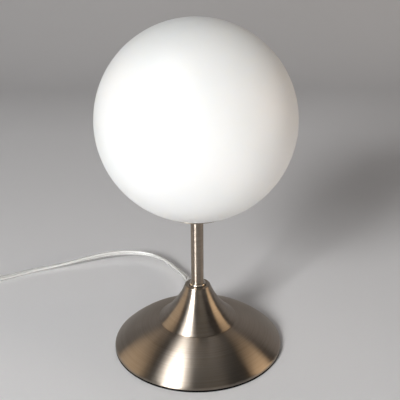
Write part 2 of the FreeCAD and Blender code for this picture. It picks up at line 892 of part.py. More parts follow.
def terminal_screws():
    """Small cheese-head screws, one in the side of each terminal."""
    half = terminal_size / 2
    r = terminal_screw_d / 2
    head = terminal_head_h
    slot_half = head / 6
    screws = []
    for side in (-1, 1):
        base = V(half, side * terminal_reach, insert_z - half)
        shank = Part.makeCylinder(r, half - slack, base, V(-1, 0, 0))
        cap = Part.makeCylinder(r + terminal_head_over, head, base, V(1, 0, 0))
        across = (base.y - r * 2, base.y + r * 2)
        slot = block((half + head / 2, half + head), across, (base.z - slot_half, base.z + slot_half))
        screws.append(to_exit(shank.fuse(cap).cut(slot)))
    return screws


def bulb_cap():
    """Thin screw shell with rounded rings in place of the helix."""
    r = cap_d / 2
    root = r - thread_depth
    first = cap_z + cap_taper
    steps = [(root - cap_wall - cap_taper, cap_z), (root - cap_taper, cap_z), (root, first)]
    turns = int((cap_h - thread_end_h) / thread_pitch)
    for i in range(turns):
        low = first + thread_pitch * i
        steps.append(((r, low + thread_pitch / 2), (root, low + thread_pitch)))
    steps += [(root, cap_z + cap_h), (root - cap_wall, cap_z + cap_h), (root - cap_wall, first)]
    return lathe(*steps)


def bulb_insulator():
    """Dark glass ring between the bulb's shell and its button."""
    r = cap_d / 2 - thread_depth - cap_taper
    low = cap_z - insulator_h
    return lathe((0, low), (button_d / 2, low), (r, cap_z - insulator_h / 5), (r, cap_z), (0, cap_z))


def bulb_button():
    r = button_d / 2
    high = button_z + button_h
    return lathe((0, button_z), (r - button_h / 2, button_z), (r, high), (0, high))


def candle_steps(inside):
    """Neck, belly and tip of the candle outline, that far inside its outer face, with arc middles."""
    neck_r = bulb_neck_d / 2 - inside
    belly_r = bulb_belly_d / 2 - inside
    neck_z = cap_z + cap_h + bulb_neck_gap
    belly_z = neck_z + belly_rise
    tip_r = bulb_tip_d / 2 - inside
    tip_z = bulb_top - bulb_tip_h
    lower_r = ((belly_r - neck_r) ** 2 + (belly_z - neck_z) ** 2) / (2 * (belly_r - neck_r))
    upper_r = ((belly_r - tip_r) ** 2 + (tip_z - belly_z) ** 2) / (2 * (belly_r - tip_r))
    rise = bulb_top - inside - tip_z
    cap_r = (tip_r**2 + rise**2) / (2 * rise)
    neck, belly, tip, top = (neck_r, neck_z), (belly_r, belly_z), (tip_r, tip_z), (0, bulb_top - inside)
    return [
        neck,
        (arc_middle(neck, belly, lower_r, -1), belly),
        (arc_middle(belly, tip, upper_r, -1), tip),
        (arc_middle(tip, top, cap_r, -1), top),
    ]


def bulb_envelope():
    """Blown candle envelope, its neck cemented into the shell."""
    low = cap_z + cap_h / 2
    outer, inner = candle_steps(0), candle_steps(bulb_wall)
    back = [inner[3][1]]
    for here, before in zip(inner[:0:-1], inner[-2::-1]):
        end = before if before is inner[0] else before[1]
        back.append((here[0], end))
    return lathe((outer[0][0], low), *outer, *back, (inner[0][0], low))


def bulb_stem():
    """Glass mount that carries the filament, closing the neck from inside."""
    low = mount_z
    flare_r = bulb_neck_d / 2 - bulb_wall - slack
    rod_r = mount_rod_d / 2
    high = low + mount_h
    rim = low + mount_flare_h / 5
    return lathe(
        (0, low),
        (flare_r, low),
        (flare_r, rim),
        (rod_r, low + mount_flare_h),
        (rod_r, high),
        (0, high + rod_r),
    )


def bulb_filament():
    """Two lead wires beside the glass rod, and the filament bent between them."""
    low = mount_z + lead_above_flare
    high = low + filament_h
    at = (mount_rod_d + lead_d) / 2 + slack
    half = [
        V(at, 0, low),
        V(at, 0, low + lead_straight),
        V(filament_half_w, 0, high - filament_top_h),
        V(filament_top_half_w, 0, high),
    ]
    path = [V(-p.x, 0, p.z) for p in half] + half[::-1]
    return tube_along(path, round_section(lead_d))


def from_switch(shape):
    """From the switch's own frame, +X along the cord away from the lamp, to the lamp's."""
    return moved(turned(shape, switch_heading), switch_at)


def switch_point(along, z=0.0):
    return switch_at + switch_dir * along + V(0, 0, z)


def switch_case(low, high, inset):
    """Rounded case block, that far inside the switch's outer face."""
    half_l, half_w = switch_l / 2 - inset, switch_w / 2 - inset
    body = block((-half_l, half_l), (-half_w, half_w), (low, high))
    upright = [e for e in body.Edges if abs(e.Vertexes[0].Z - e.Vertexes[-1].Z) > 1]
    return body.makeFillet(max(switch_w / 3 - inset, 0.5), upright)


def switch_screw_places():
    u = switch_l / 2 - switch_screw_end
    v = switch_w / 2 - switch_screw_side
    return [V(-u, -v, 0), V(u, v, 0)]


def cord_ends_in_switch():
    """Room for the flat cord at both ends of the switch."""
    gap = 2 * slack
    hole = stadium(cord_w + gap, cord_t + gap).extrude(V(switch_l + 2, 0, 0))
    return moved(hole, V(-switch_l / 2 - 1, 0, switch_low_h))


def switch_lower():
    """Lower half of the switch, with a post for each screw."""
    floor = switch_floor
    shell = switch_case(0, switch_low_h, 0)
    rim = [e for e in shell.Edges if e.BoundBox.ZMax < 1e-6]
    shell = shell.makeFillet(switch_round / 2, rim)
    shell = shell.cut(switch_case(floor, switch_low_h + 1, switch_wall))
    for place in switch_screw_places():
        shell = shell.fuse(Part.makeCylinder(switch_post_r, switch_low_h - floor, place + V(0, 0, floor)))
    shell = shell.cut(cord_ends_in_switch())
    hole = switch_screw(run)
    for place in switch_screw_places():
        shell = shell.cut(moved(hole, place))
    return from_switch(shell)


def switch_screw(grow=0.0):
    return flat_screw(switch_screw_d / 2, switch_screw_l, switch_screw_d, switch_screw_head_h, grow)


def switch_screws():
    return [from_switch(moved(switch_screw(), place)) for place in switch_screw_places()]


def switch_upper():
    """Upper half with the rocker's window, a saddle rib on each side of it and screw posts."""
    high = switch_h
    top = switch_floor
    shell = switch_case(switch_low_h, high, 0)
    rim = [e for e in shell.Edges if e.BoundBox.ZMin > high - 1e-6]
    shell = shell.makeFillet(switch_round, rim)
    shell = shell.cut(switch_case(switch_low_h - 1, high - top, switch_wall))
    half_l, half_w = rocker_l / 2 + free, rocker_w / 2 + free
    rib_low = rocker_pivot_z - rocker_pin_d
    for side in (-1, 1):
        ends = sorted((side * half_w, side * (switch_w / 2 - switch_wall / 2)))
        shell = shell.fuse(block((-rocker_pin_d, rocker_pin_d), ends, (rib_low, high - top / 2)))
    for place in switch_screw_places():
        post = Part.makeCylinder(switch_post_r, switch_up_h - top, place + V(0, 0, switch_low_h))
        shell = shell.fuse(post)
    shell = shell.cut(block((-half_l, half_l), (-half_w, half_w), (switch_low_h - 1, high + 1)))
    reach = rocker_w / 2 + rocker_pin_l + free
    bearing = Part.makeCylinder(rocker_pin_d / 2 + run, 2 * reach, V(0, -reach, rocker_pivot_z), V(0, 1, 0))
    shell = shell.cut(bearing).cut(cord_ends_in_switch())
    hole = switch_screw(run)
    for place in switch_screw_places():
        shell = shell.cut(moved(hole, place))
    return from_switch(shell)


def switch_rocker():
    """Rocker with a shallow V top, its ends rounded about its pins. It rests tilted to one side."""
    pivot = rocker_pivot_z
    half = rocker_l / 2
    middle_top = rocker_pin_depth - rocker_dip
    end_top = rocker_pin_depth + rocker_rise
    end_x = math.sqrt(half**2 - end_top**2)
    low = -rocker_skirt
    low_x = math.sqrt(half**2 - low**2)
    face = outline(
        (-end_x, end_top),
        (0, middle_top),
        (end_x, end_top),
        ((half, 0.0), (low_x, low)),
        (0, -rocker_keel),
        (-low_x, low),
        ((-half, 0.0), (-end_x, end_top)),
    )
    body = moved(face.extrude(V(0, rocker_w, 0)), V(0, -rocker_w / 2, 0))
    long = rocker_w + 2 * rocker_pin_l
    body = body.fuse(Part.makeCylinder(rocker_pin_d / 2, long, V(0, -long / 2, 0), V(0, 1, 0)))
    body.rotate(ORIGIN, V(0, 1, 0), -rocker_tilt)
    return from_switch(moved(body, V(0, 0, pivot)))


def switch_terminals():
    """Brass blocks that clamp the cut core at each cord's end."""
    at = cord_end_u
    low, high = switch_low_h - terminal_half_h, switch_low_h + terminal_half_h
    inner, outer = free, cord_w / 2 + free
    blocks = []
    for side in (-1, 1):
        ends = sorted((side * (at - terminal_l), side * at))
        body = block(ends, (inner, outer), (low, high))
        middle = V(side * (at - terminal_l / 2), (inner + outer) / 2, switch_low_h)
        hole = Part.makeCylinder(terminal_hole_d / 2, terminal_half_h, middle, UP)
        blocks.append(from_switch(body.cut(hole)))
    return blocks


def switch_blade():
    """Spring strip from the far terminal to just short of the near one, under the rocker."""
    at = cord_end_u - terminal_l
    low = switch_low_h - blade_strip_low
    across = (cord_w / 8, cord_w / 2)
    strip = block((-at + blade_strip_gap, at), across, (low, low + blade_strip_t))
    return from_switch(strip)


def switch_link_core():
    """The core that runs through the switch uncut."""
    at = cord_end_u
    return from_switch(Part.makeCylinder(core_d / 2, 2 * at, V(-at, -cord_w / 4, switch_low_h), V(1, 0, 0)))


def mains_cord():
    """The cord from the base to the switch."""
    first = [on_exit_line(reach) for reach in exit_line]
    middle = V(0, 0, switch_low_h)
    last = [switch_point(-switch_l / 2 - switch_lead) + middle, switch_point(-cord_end_u) + middle]
    return tube_along(first + seen_route + last, stadium(cord_w, cord_t), "mains_cord")


def coil_side():
    """Unit way from where the cord joins the coil to the coil's middle, on the cord's left."""
    return UP.cross(switch_dir)


def coil_join():
    return switch_point(switch_l / 2 + coil_reach)


def coil_centre():
    return coil_join() + coil_side() * coil_mid_r


def cord_to_coil():
    """The cord from the switch down to the coil's straight outer end."""
    end = coil_join() - switch_dir * tail_reach
    start = switch_point(cord_end_u, switch_low_h)
    out = switch_point(switch_l / 2 + coil_lead[0], switch_low_h)
    down = switch_point(switch_l / 2 + coil_lead[1], stub_low_z)
    end += V(0, 0, stub_low_z)
    return tube_along([start, out, down, end], stadium(cord_w, cord_t), "cord_to_coil")


def tail_point():
    """Where the plug cord leaves the coil, and its heading."""
    angle = math.radians(coil_tail_turn)
    heading = V(math.cos(angle), math.sin(angle), 0)
    return coil_centre() - UP.cross(heading) * coil_mid_r, heading


def cord_coil():
    """The put-away turns as one ring of their outer shape, with a straight stub at each end."""
    edge = coil_edge
    low, high = coil_low, coil_low + coil_h
    body = lathe(
        (coil_in_r + edge, low),
        (coil_out_r - edge, low),
        (coil_out_r, low + edge),
        (coil_out_r, high - edge),
        (coil_out_r - edge, high),
        (coil_in_r + edge, high),
        (coil_in_r, high - edge),
        (coil_in_r, low + edge),
    )
    body = moved(body, coil_centre())
    flat = stadium(cord_w, cord_t)
    first = coil_join() + V(0, 0, stub_low_z)
    away = first - switch_dir * tail_reach
    body = body.fuse(aimed(flat, away, first).extrude(first - away))
    last, heading = tail_point()
    last += V(0, 0, stub_high_z)
    body = body.fuse(aimed(flat, last, last + heading).extrude(heading * tail_reach))
    return body.removeSplitter()


def coil_tie():
    """Band round the coil's turns, on the side away from the cord's two ends."""
    r_in, r_out = coil_in_r - tie_gap, coil_out_r + tie_gap
    high = coil_low + coil_h + tie_gap
    outer = block((r_in - tie_t, r_out + tie_t), (-tie_w / 2, tie_w / 2), (0, high + tie_t))
    level = [e for e in outer.Edges if abs(e.BoundBox.YLength - tie_w) < 1e-6]
    outer = outer.makeFillet(tie_t * 1.5, level)
    band = outer.cut(block((r_in, r_out), (-tie_w, tie_w), (tie_t, high)))
    return moved(turned(band, switch_heading - tie_turn), coil_centre())


def plug_place():
    """The plug's near end, on the floor under the plug cord's line, and its heading."""
    start, heading = tail_point()
    return start + heading * (tail_reach + plug_lead), heading


def plug_cord():
    """Short end of cord from the coil's upper layer to the plug."""
    start, heading = tail_point()
    start += heading * tail_reach + V(0, 0, stub_high_z)
    end, heading = plug_place()
    end += V(0, 0, plug_h / 2)
    path = [start, start + heading * plug_lead_level, end - heading * plug_lead_level, end]
    return tube_along(path, stadium(cord_w, cord_t), "plug_cord")


def to_plug(shape):
    place, heading = plug_place()
    return moved(turned(shape, math.degrees(math.atan2(heading.y, heading.x))), place)


def plug_body():
    """Moulded plug: a neck that widens into a grip with rounded edges."""
    mid = V(0, 0, plug_h / 2)
    shoulder = V(plug_neck_l, 0, plug_h / 2)
    body = block((plug_neck_l, plug_front), (-plug_w / 2, plug_w / 2), (0, plug_h))
    body = body.makeFillet(plug_round, [e for e in body.Edges if e.BoundBox.XLength > plug_l - 1e-6])
    body = body.makeChamfer(plug_round / 3, [e for e in body.Edges if e.BoundBox.XMin > plug_front - 1e-6])
    near = stadium(cord_w + 2 * plug_neck_wall, cord_t + 2 * plug_neck_cover)
    near = aimed(near, mid, mid + V(1, 0, 0))
    wide = stadium(plug_w - 2 * plug_round, plug_h - 2 * plug_shoulder)
    wide = aimed(wide, shoulder, shoulder + V(1, 0, 0))
    neck = Part.makeLoft([near.OuterWire, wide.OuterWire], True, True)
    body = body.fuse(neck)
    for blade in blade_boxes(run):
        body = body.cut(blade)
    return to_plug(body)


def blade_boxes(grow=0.0):
    ends = (plug_front - blade_root, plug_front + blade_l)
    mid = plug_h / 2
    boxes = []
    for side in (-1, 1):
        at = side * blade_gap / 2
        half_t, half_w = blade_t / 2 + grow, blade_w / 2 + grow
        boxes.append(block(ends, (at - half_t, at + half_t), (mid - half_w, mid + half_w)))
    return boxes


def plug_blades():
    """Two flat contact blades with bevelled tips."""
    blades = []
    for blade in blade_boxes():
        tip = [e for e in blade.Edges if e.BoundBox.XMin > plug_front + blade_l - 1e-6]
        blades.append(to_plug(blade.makeChamfer(blade_bevel, tip)))
    return blades


PARTS = {
    "glass_globe": glass_globe,
    "globe_gasket": globe_gasket,
    "globe_gallery": globe_gallery,
    "gallery_springs": gallery_springs,
    "gallery_nut": lambda: hex_nut(gallery_z - nut_h),
    "lampholder_cap": lampholder_cap,
    "lampholder_insert": lampholder_insert,
    "lampholder_sleeve": lampholder_sleeve,
    "contact_liner": contact_liner,
    "centre_contact": centre_contact,
    "holder_terminals": holder_terminals,
    "terminal_screws": terminal_screws,
    "core_live": lambda: core(1),
    "core_neutral": lambda: core(-1),
    "bulb_envelope": bulb_envelope,
    "bulb_cap": bulb_cap,
    "bulb_insulator": bulb_insulator,
    "bulb_button": bulb_button,
    "bulb_stem": bulb_stem,
    "bulb_filament": bulb_filament,
    "stem_tube": stem_tube,
    "stem_ring_nut": stem_ring_nut,
    "trumpet_cover": trumpet_cover,
    "base_skirt": base_skirt,
    "base_weight": base_weight,
    "base_washer": base_washer,
    "base_nut": lambda: hex_nut(base_nut_z),
    "bottom_plate": bottom_plate,
    "plate_screws": plate_screws,
    "foot_pad": foot_pad,
    "cord_bushing": cord_bushing,
    "cord_clamp": cord_clamp,
    "clamp_screws": clamp_screws,
    "inner_flex": inner_flex,
    "mains_cord": mains_cord,
    "switch_lower": switch_lower,
    "switch_upper": switch_upper,
    "switch_rocker": switch_rocker,
    "switch_screws": switch_screws,
    "switch_terminals": switch_terminals,
    "switch_blade": switch_blade,
    "switch_link_core": switch_link_core,
    "cord_to_coil": cord_to_coil,
    "cord_coil": cord_coil,
    "coil_tie": coil_tie,
    "plug_cord": plug_cord,
    "plug_body": plug_body,
    "plug_blades": plug_blades,
}


def main():
    os.makedirs("parts", exist_ok=True)
    for name, make in PARTS.items():
        made = make()
        solids = made if isinstance(made, list) else [made]
        whole = Part.makeCompound([s for shape in solids for s in shape.Solids])
        if len(whole.Solids) != len(solids) or not whole.isValid():
            print(f"{name}: {len(whole.Solids)} solids, valid {whole.isValid()}")
        (whole if len(solids) > 1 else whole.Solids[0]).exportStep(f"parts/{name}.step")


main()
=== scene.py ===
import bmesh
import bpy
import math
from mathutils import Matrix, Vector


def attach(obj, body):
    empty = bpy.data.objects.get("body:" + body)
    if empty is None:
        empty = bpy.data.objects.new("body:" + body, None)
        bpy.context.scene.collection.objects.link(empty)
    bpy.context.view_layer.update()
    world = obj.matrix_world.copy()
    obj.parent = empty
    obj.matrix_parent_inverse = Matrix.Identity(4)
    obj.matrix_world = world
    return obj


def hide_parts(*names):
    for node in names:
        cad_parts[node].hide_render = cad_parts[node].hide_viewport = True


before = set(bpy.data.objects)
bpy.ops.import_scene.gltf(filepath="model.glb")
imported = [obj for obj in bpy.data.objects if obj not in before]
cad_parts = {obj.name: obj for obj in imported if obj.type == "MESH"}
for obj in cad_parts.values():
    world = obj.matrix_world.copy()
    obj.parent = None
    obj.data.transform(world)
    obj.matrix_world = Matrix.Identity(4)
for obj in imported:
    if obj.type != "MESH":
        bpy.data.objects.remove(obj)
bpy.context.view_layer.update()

# The camera stands a little above the globe and looks down at it, as in the photograph. It has a
# 64 mm lens on a 36 mm sensor and is half a metre away.
camera_data = bpy.data.cameras.new("camera")
camera_data.lens = 64.1
camera_data.sensor_width = 36
camera_data.clip_start = 0.02
camera_data.clip_end = 20
camera = bpy.data.objects.new("camera", camera_data)
bpy.context.collection.objects.link(camera)
stands_at = (0, -0.50782, 0.33504)
right = Vector((0.99994992, -0.0076089, -0.00650077))
up = Vector((0.00889335, 0.37771012, 0.92588119))
ahead = Vector((0.00458953, 0.92589263, -0.37775888))
facing = Matrix((right, up, -ahead)).transposed().to_4x4()
camera.matrix_world = Matrix.Translation(stands_at) @ facing
bpy.context.scene.camera = camera


# The foot is a disc of black closed-cell foam, die cut and glued under the base so that it doesn't
# scratch the table. Its cut cells make it quite matte.
def linear(colour):
    """An sRGB hex colour as the linear values that a shader takes."""
    parts = [int(colour[i : i + 2], 16) / 255 for i in (0, 2, 4)]
    return [c / 12.92 if c <= 0.04045 else ((c + 0.055) / 1.055) ** 2.4 for c in parts] + [1]


def add(tree, kind, inputs=None, **settings):
    """A new node, with its properties, and its sockets set to values or fed from other sockets."""
    made = tree.nodes.new(kind)
    for name, value in settings.items():
        setattr(made, name, value)
    for socket, value in (inputs or {}).items():
        if isinstance(value, bpy.types.NodeSocket):
            tree.links.new(value, made.inputs[socket])
        else:
            made.inputs[socket].default_value = value
    return made


def new_finish(name):
    """A material with an empty node tree, and that tree."""
    finish = bpy.data.materials.new(name)
    finish.use_nodes = True
    finish.node_tree.nodes.clear()
    return finish, finish.node_tree


mix_share, mix_first, mix_second, mix_result = 0, 6, 7, 2  # the colour sockets of a Mix node


def grained_finish(name, light, dark, grain, relief, gloss, fixed=None):
    """A finish whose tone, roughness and relief follow one grain, its size and depth in metres.

    gloss is the lowest and highest roughness, and fixed holds sockets that are the same all over.
    """
    finish, tree = new_finish(name)
    place = add(tree, "ShaderNodeTexCoord").outputs["Object"]
    noise = {"Vector": place, "Scale": 1 / grain, "Detail": 4.0, "Roughness": 0.6}
    grains = add(tree, "ShaderNodeTexNoise", noise).outputs["Fac"]
    tones = {mix_share: grains, mix_first: linear(light), mix_second: linear(dark)}
    tone = add(tree, "ShaderNodeMix", tones, data_type="RGBA")
    gloss_range = {"Value": grains, "To Min": gloss[0], "To Max": gloss[1]}
    rough = add(tree, "ShaderNodeMapRange", gloss_range)
    bump = add(tree, "ShaderNodeBump", {"Height": grains, "Strength": 0.6, "Distance": relief})
    surface = {
        "Base Color": tone.outputs[mix_result],
        "Roughness": rough.outputs["Result"],
        "Normal": bump.outputs["Normal"],
        **(fixed or {}),
    }
    shader = add(tree, "ShaderNodeBsdfPrincipled", surface)
    add(tree, "ShaderNodeOutputMaterial", {"Surface": shader.outputs["BSDF"]})
    return finish


def dress(finish, *nodes):
    """Give parts of the frame a finish in place of their plain one."""
    for name in nodes:
        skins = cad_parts[name].data.materials
        skins.clear()
        skins.append(finish)


foam = grained_finish(
    "closed_cell_foam", "0b0b0c", "040404",
    grain=0.0009, relief=0.0004, gloss=(0.8, 0.98), fixed={"Specular IOR Level": 0.06},
)
dress(foam, "foot_pad")

# A pressed steel plate closes the base from below, with three countersunk screws. Like the nuts,
# the washer, the clamp and the small screws inside, it is zinc plated: bluish, with faint spangles.
metallic = {"Metallic": 1.0}
zinc = grained_finish(
    "bright_zinc_plate", "c3c7cd", "a3a7af",
    grain=0.0035, relief=0.00005, gloss=(0.2, 0.42), fixed=metallic,
)
dress(zinc, "bottom_plate", "plate_screws", "base_washer", "base_nut", "gallery_nut", "cord_clamp")
dress(zinc, "clamp_screws", "terminal_screws", "switch_screws")

# The weight is grey iron, sand cast: the sand leaves a coarse dark skin, a little brown where it
# has begun to rust.
iron = grained_finish(
    "sand_cast_iron", "3a3633", "1c1b1a",
    grain=0.0016, relief=0.0006, gloss=(0.6, 0.9), fixed=metallic,
)
dress(iron, "base_weight")

# Skirt, trumpet, stem and gallery are steel, spun, drawn or pressed, nickel plated and brushed
# while they turn. The brush leaves fine lines round the axis, so every light stretches across the
# lines into a bright ray. The lines are drawn 0.8 and 1.9 mm wide, coarser than real, to show.
fine_lines, broad_lines = 1250.0, 520.0  # lines to the metre
broad_share = 0.2
stroke_ring = 0.0005  # the pattern is read round this radius, so a line is a quarter turn long
satin_nickel, tree = new_finish("brushed_satin_nickel")
place = add(tree, "ShaderNodeTexCoord").outputs["Object"]
split = add(tree, "ShaderNodeSeparateXYZ", {"Vector": place}).outputs
flat = add(tree, "ShaderNodeCombineXYZ", {"X": split["X"], "Y": split["Y"]}).outputs["Vector"]
radius = add(tree, "ShaderNodeVectorMath", {0: flat}, operation="LENGTH").outputs["Value"]
turn = add(tree, "ShaderNodeVectorMath", {0: flat}, operation="NORMALIZE").outputs["Vector"]
stroke = add(tree, "ShaderNodeVectorMath", {0: turn, "Scale": stroke_ring}, operation="SCALE")
along = add(tree, "ShaderNodeMath", {0: radius, 1: split["Z"]}, operation="SUBTRACT")
across = add(tree, "ShaderNodeCombineXYZ", {"Z": along.outputs["Value"]}).outputs["Vector"]
line_at = add(tree, "ShaderNodeVectorMath", {0: across, 1: stroke.outputs["Vector"]})
pattern = {"Vector": line_at.outputs["Vector"], "Detail": 3.0}
fine = add(tree, "ShaderNodeTexNoise", {**pattern, "Scale": fine_lines}).outputs["Fac"]
broad = add(tree, "ShaderNodeTexNoise", {**pattern, "Scale": broad_lines}).outputs["Fac"]
lines = add(tree, "ShaderNodeMix", {0: broad_share, 2: fine, 3: broad}).outputs[0]
tone = add(tree, "ShaderNodeValToRGB", {"Fac": lines})
for stop, at, colour in zip(tone.color_ramp.elements, (0.36, 0.64), ("9c9287", "a79d92")):
    stop.position = at
    stop.color = linear(colour)
grip_range = {"From Min": 0.35, "From Max": 0.65, "To Min": 0.29, "To Max": 0.36}
grip = add(tree, "ShaderNodeMapRange", {"Value": lines, **grip_range})
relief = add(tree, "ShaderNodeBump", {"Height": lines, "Strength": 0.04, "Distance": 0.0001})
around = add(tree, "ShaderNodeTangent", direction_type="RADIAL", axis="Z")
brushed = {
    "Base Color": tone.outputs["Color"],
    "Metallic": 1.0,
    "Roughness": grip.outputs["Result"],
    "Anisotropic": 0.97,
    "Anisotropic Rotation": 0.25,
    "Normal": relief.outputs["Normal"],
    "Tangent": around.outputs["Tangent"],
}
metal = add(tree, "ShaderNodeBsdfPrincipled", brushed)
add(tree, "ShaderNodeOutputMaterial", {"Surface": metal.outputs["BSDF"]})
dress(satin_nickel, "base_skirt", "trumpet_cover", "stem_tube", "globe_gallery")

# The ring nut that holds the trumpet down is turned and then nickel plated without brushing, so it
# is bright, with only the soft ripple of the plating.
turned = grained_finish(
    "bright_turned_nickel", "dcd5ca", "cbc3b7",
    grain=0.0008, relief=0.00001, gloss=(0.16, 0.24), fixed=metallic,
)
dress(turned, "stem_ring_nut")

# The globe rests on a thin silicone ring, and three leaves of rolled spring steel, hooked over the
# gallery's collar, hold its opening in the middle.
clear_rubber = {"Transmission Weight": 0.25, "IOR": 1.41}
silicone = grained_finish(
    "silicone_rubber", "dedcd6", "cfccc4",
    grain=0.0012, relief=0.00006, gloss=(0.45, 0.6), fixed=clear_rubber,
)
dress(silicone, "globe_gasket")
spring_steel = grained_finish(
    "rolled_spring_steel", "b4b4b6", "8f9093",
    grain=0.0006, relief=0.00003, gloss=(0.18, 0.34), fixed=metallic,
)
dress(spring_steel, "gallery_springs")

# The lampholder is a cap and sleeve of black phenolic, moulded with a dull gloss, round a glazed
# white ceramic carrier and stamped brass contacts. The cores that reach it have plain soft jackets.
phenolic = grained_finish(
    "moulded_black_phenolic", "232120", "121110",
    grain=0.0007, relief=0.00004, gloss=(0.26, 0.44),
)
dress(phenolic, "lampholder_cap", "lampholder_sleeve")
glaze = {"Coat Weight": 0.8, "Coat Roughness": 0.05, "IOR": 1.5}
ceramic = grained_finish(
    "glazed_ceramic", "efece4", "dcd8cd",
    grain=0.004, relief=0.00008, gloss=(0.12, 0.3), fixed=glaze,
)
dress(ceramic, "lampholder_insert")
brass = grained_finish(
    "stamped_brass", "d9b565", "a8843c",
    grain=0.0018, relief=0.00004, gloss=(0.16, 0.36), fixed=metallic,
)
dress(brass, "contact_liner", "centre_contact", "holder_terminals")
dress(brass, "switch_terminals", "switch_blade")
core_skin = grained_finish(
    "extruded_core_insulation", "dcd8ce", "c3beb2",
    grain=0.0011, relief=0.00005, gloss=(0.3, 0.45),
)
dress(core_skin, "core_live", "core_neutral", "switch_link_core")

# The bulb is a clear candle: a blown envelope and a pressed glass mount, a rolled aluminium shell
# with a ring of black fused glass below it, and a dull drop of solder as its end contact.
clear_glass, tree = new_finish("blown_clear_glass")
place = add(tree, "ShaderNodeTexCoord").outputs["Object"]
blown = {"Vector": place, "Scale": 90.0, "Detail": 1.0}  # swells 11 mm long
waves = add(tree, "ShaderNodeTexNoise", blown).outputs["Fac"]
swell = add(tree, "ShaderNodeBump", {"Height": waves, "Strength": 0.15, "Distance": 0.0004})
dust = add(tree, "ShaderNodeMapRange", {"Value": waves, "To Min": 0.0, "To Max": 0.06})
glass = {
    "Base Color": linear("f7fafa"),
    "Roughness": dust.outputs["Result"],
    "IOR": 1.5,
    "Transmission Weight": 1.0,
    "Normal": swell.outputs["Normal"],
}
shader = add(tree, "ShaderNodeBsdfPrincipled", glass)
add(tree, "ShaderNodeOutputMaterial", {"Surface": shader.outputs["BSDF"]})
dress(clear_glass, "bulb_envelope", "bulb_stem")
aluminium = grained_finish(
    "rolled_aluminium", "d3d4d6", "b3b5b8",
    grain=0.0008, relief=0.00003, gloss=(0.2, 0.36), fixed=metallic,
)
dress(aluminium, "bulb_cap")
fused_glass = grained_finish(
    "black_fused_glass", "17171a", "08080a",
    grain=0.0015, relief=0.00006, gloss=(0.06, 0.2),
)
dress(fused_glass, "bulb_insulator")
solder = grained_finish(
    "dull_solder", "a9a9ad", "7f8085",
    grain=0.0009, relief=0.0001, gloss=(0.35, 0.6), fixed=metallic,
)
dress(solder, "bulb_button")


# The filament is drawn tungsten wire wound into a fine spring, and stands in an arch between two
# nickel leads, welded to them. Its wire and winding are coarser than real, so that they show.
def piece_from(name, mesh, *finishes):
    """An object for a mesh, with its finishes in its slots."""
    piece = bpy.data.objects.new(name, mesh)
    bpy.context.collection.objects.link(piece)
    for finish in finishes:
        mesh.materials.append(finish)
    return piece


def new_shape_tree(name, sizes):
    """A Geometry Nodes tree with an input for each of these sizes and for the finish."""
    tree = bpy.data.node_groups.new(name, "GeometryNodeTree")
    tree.interface.new_socket("Geometry", in_out="INPUT", socket_type="NodeSocketGeometry")
    for size in sizes:
        kind = "NodeSocketInt" if isinstance(sizes[size], int) else "NodeSocketFloat"
        tree.interface.new_socket(size, in_out="INPUT", socket_type=kind)
    tree.interface.new_socket("Finish", in_out="INPUT", socket_type="NodeSocketMaterial")
    tree.interface.new_socket("Geometry", in_out="OUTPUT", socket_type="NodeSocketGeometry")
    return tree, add(tree, "NodeGroupInput").outputs, add(tree, "NodeGroupOutput").inputs


def end_shape_tree(tree, shape, given, result):
    """The end of every tree: smooth faces, no instances left, and the finish."""
    smooth = add(tree, "GeometryNodeSetShadeSmooth", {"Geometry": shape}).outputs["Geometry"]
    real = add(tree, "GeometryNodeRealizeInstances", {"Geometry": smooth}).outputs["Geometry"]
    done = add(tree, "GeometryNodeSetMaterial", {"Geometry": real, "Material": given["Finish"]})
    tree.links.new(done.outputs["Geometry"], result["Geometry"])


def shape_by_nodes(name, tree, sizes, finish, carrier):
    """A plain mesh piece made by that tree from the carrier object, which is used up."""
    maker = carrier.modifiers.new("maker", "NODES")
    maker.node_group = tree
    for socket in tree.interface.items_tree:
        if socket.in_out == "INPUT" and socket.name in sizes:
            maker[socket.identifier] = sizes[socket.name]
        if socket.in_out == "INPUT" and socket.name == "Finish":
            maker[socket.identifier] = finish
    bpy.context.view_layer.update()
    made = carrier.evaluated_get(bpy.context.evaluated_depsgraph_get())
    mesh = bpy.data.meshes.new_from_object(made)
    carrier.modifiers.clear()
    bpy.data.objects.remove(carrier)
    shape = bmesh.new()
    shape.from_mesh(mesh)
    bmesh.ops.recalc_face_normals(shape, faces=shape.faces)
    shape.to_mesh(mesh)
    shape.free()
    return piece_from(name, mesh)


def bent_path(points):
    """An object holding one smooth curve along those points."""
    curve = bpy.data.curves.new("path", "CURVE")
    curve.dimensions = "3D"
    curve.resolution_u = 12
    spline = curve.splines.new("NURBS")
    spline.points.add(len(points) - 1)
    for point, at in zip(spline.points, points):
        point.co = (*at, 1)
    spline.order_u = 3
    spline.use_endpoint_u = True
    path = bpy.data.objects.new("path", curve)
    bpy.context.collection.objects.link(path)
    return path


winding = {"Coil diameter": 0.0008, "Pitch": 0.00055, "Wire diameter": 0.0003, "Points": 900}
tree, given, result = new_shape_tree("wound_wire", winding)
resampled = {"Curve": given["Geometry"], "Count": given["Points"]}
even = add(tree, "GeometryNodeResampleCurve", resampled)
travelled = add(tree, "GeometryNodeSplineParameter").outputs["Length"]
turns = add(tree, "ShaderNodeMath", {0: travelled, 1: given["Pitch"]}, operation="DIVIDE")
angle = add(tree, "ShaderNodeMath", {0: turns.outputs[0], 1: math.tau}, operation="MULTIPLY")
reach = add(tree, "ShaderNodeMath", {0: given["Coil diameter"], 1: 0.5}, operation="MULTIPLY")
onward = add(tree, "GeometryNodeInputTangent").outputs[0]
sideways = add(tree, "ShaderNodeVectorMath", {0: onward, 1: (0, 1, 0)}, operation="CROSS_PRODUCT")
start_at = {0: sideways.outputs[0], "Scale": reach.outputs[0]}
start = add(tree, "ShaderNodeVectorMath", start_at, operation="SCALE").outputs[0]
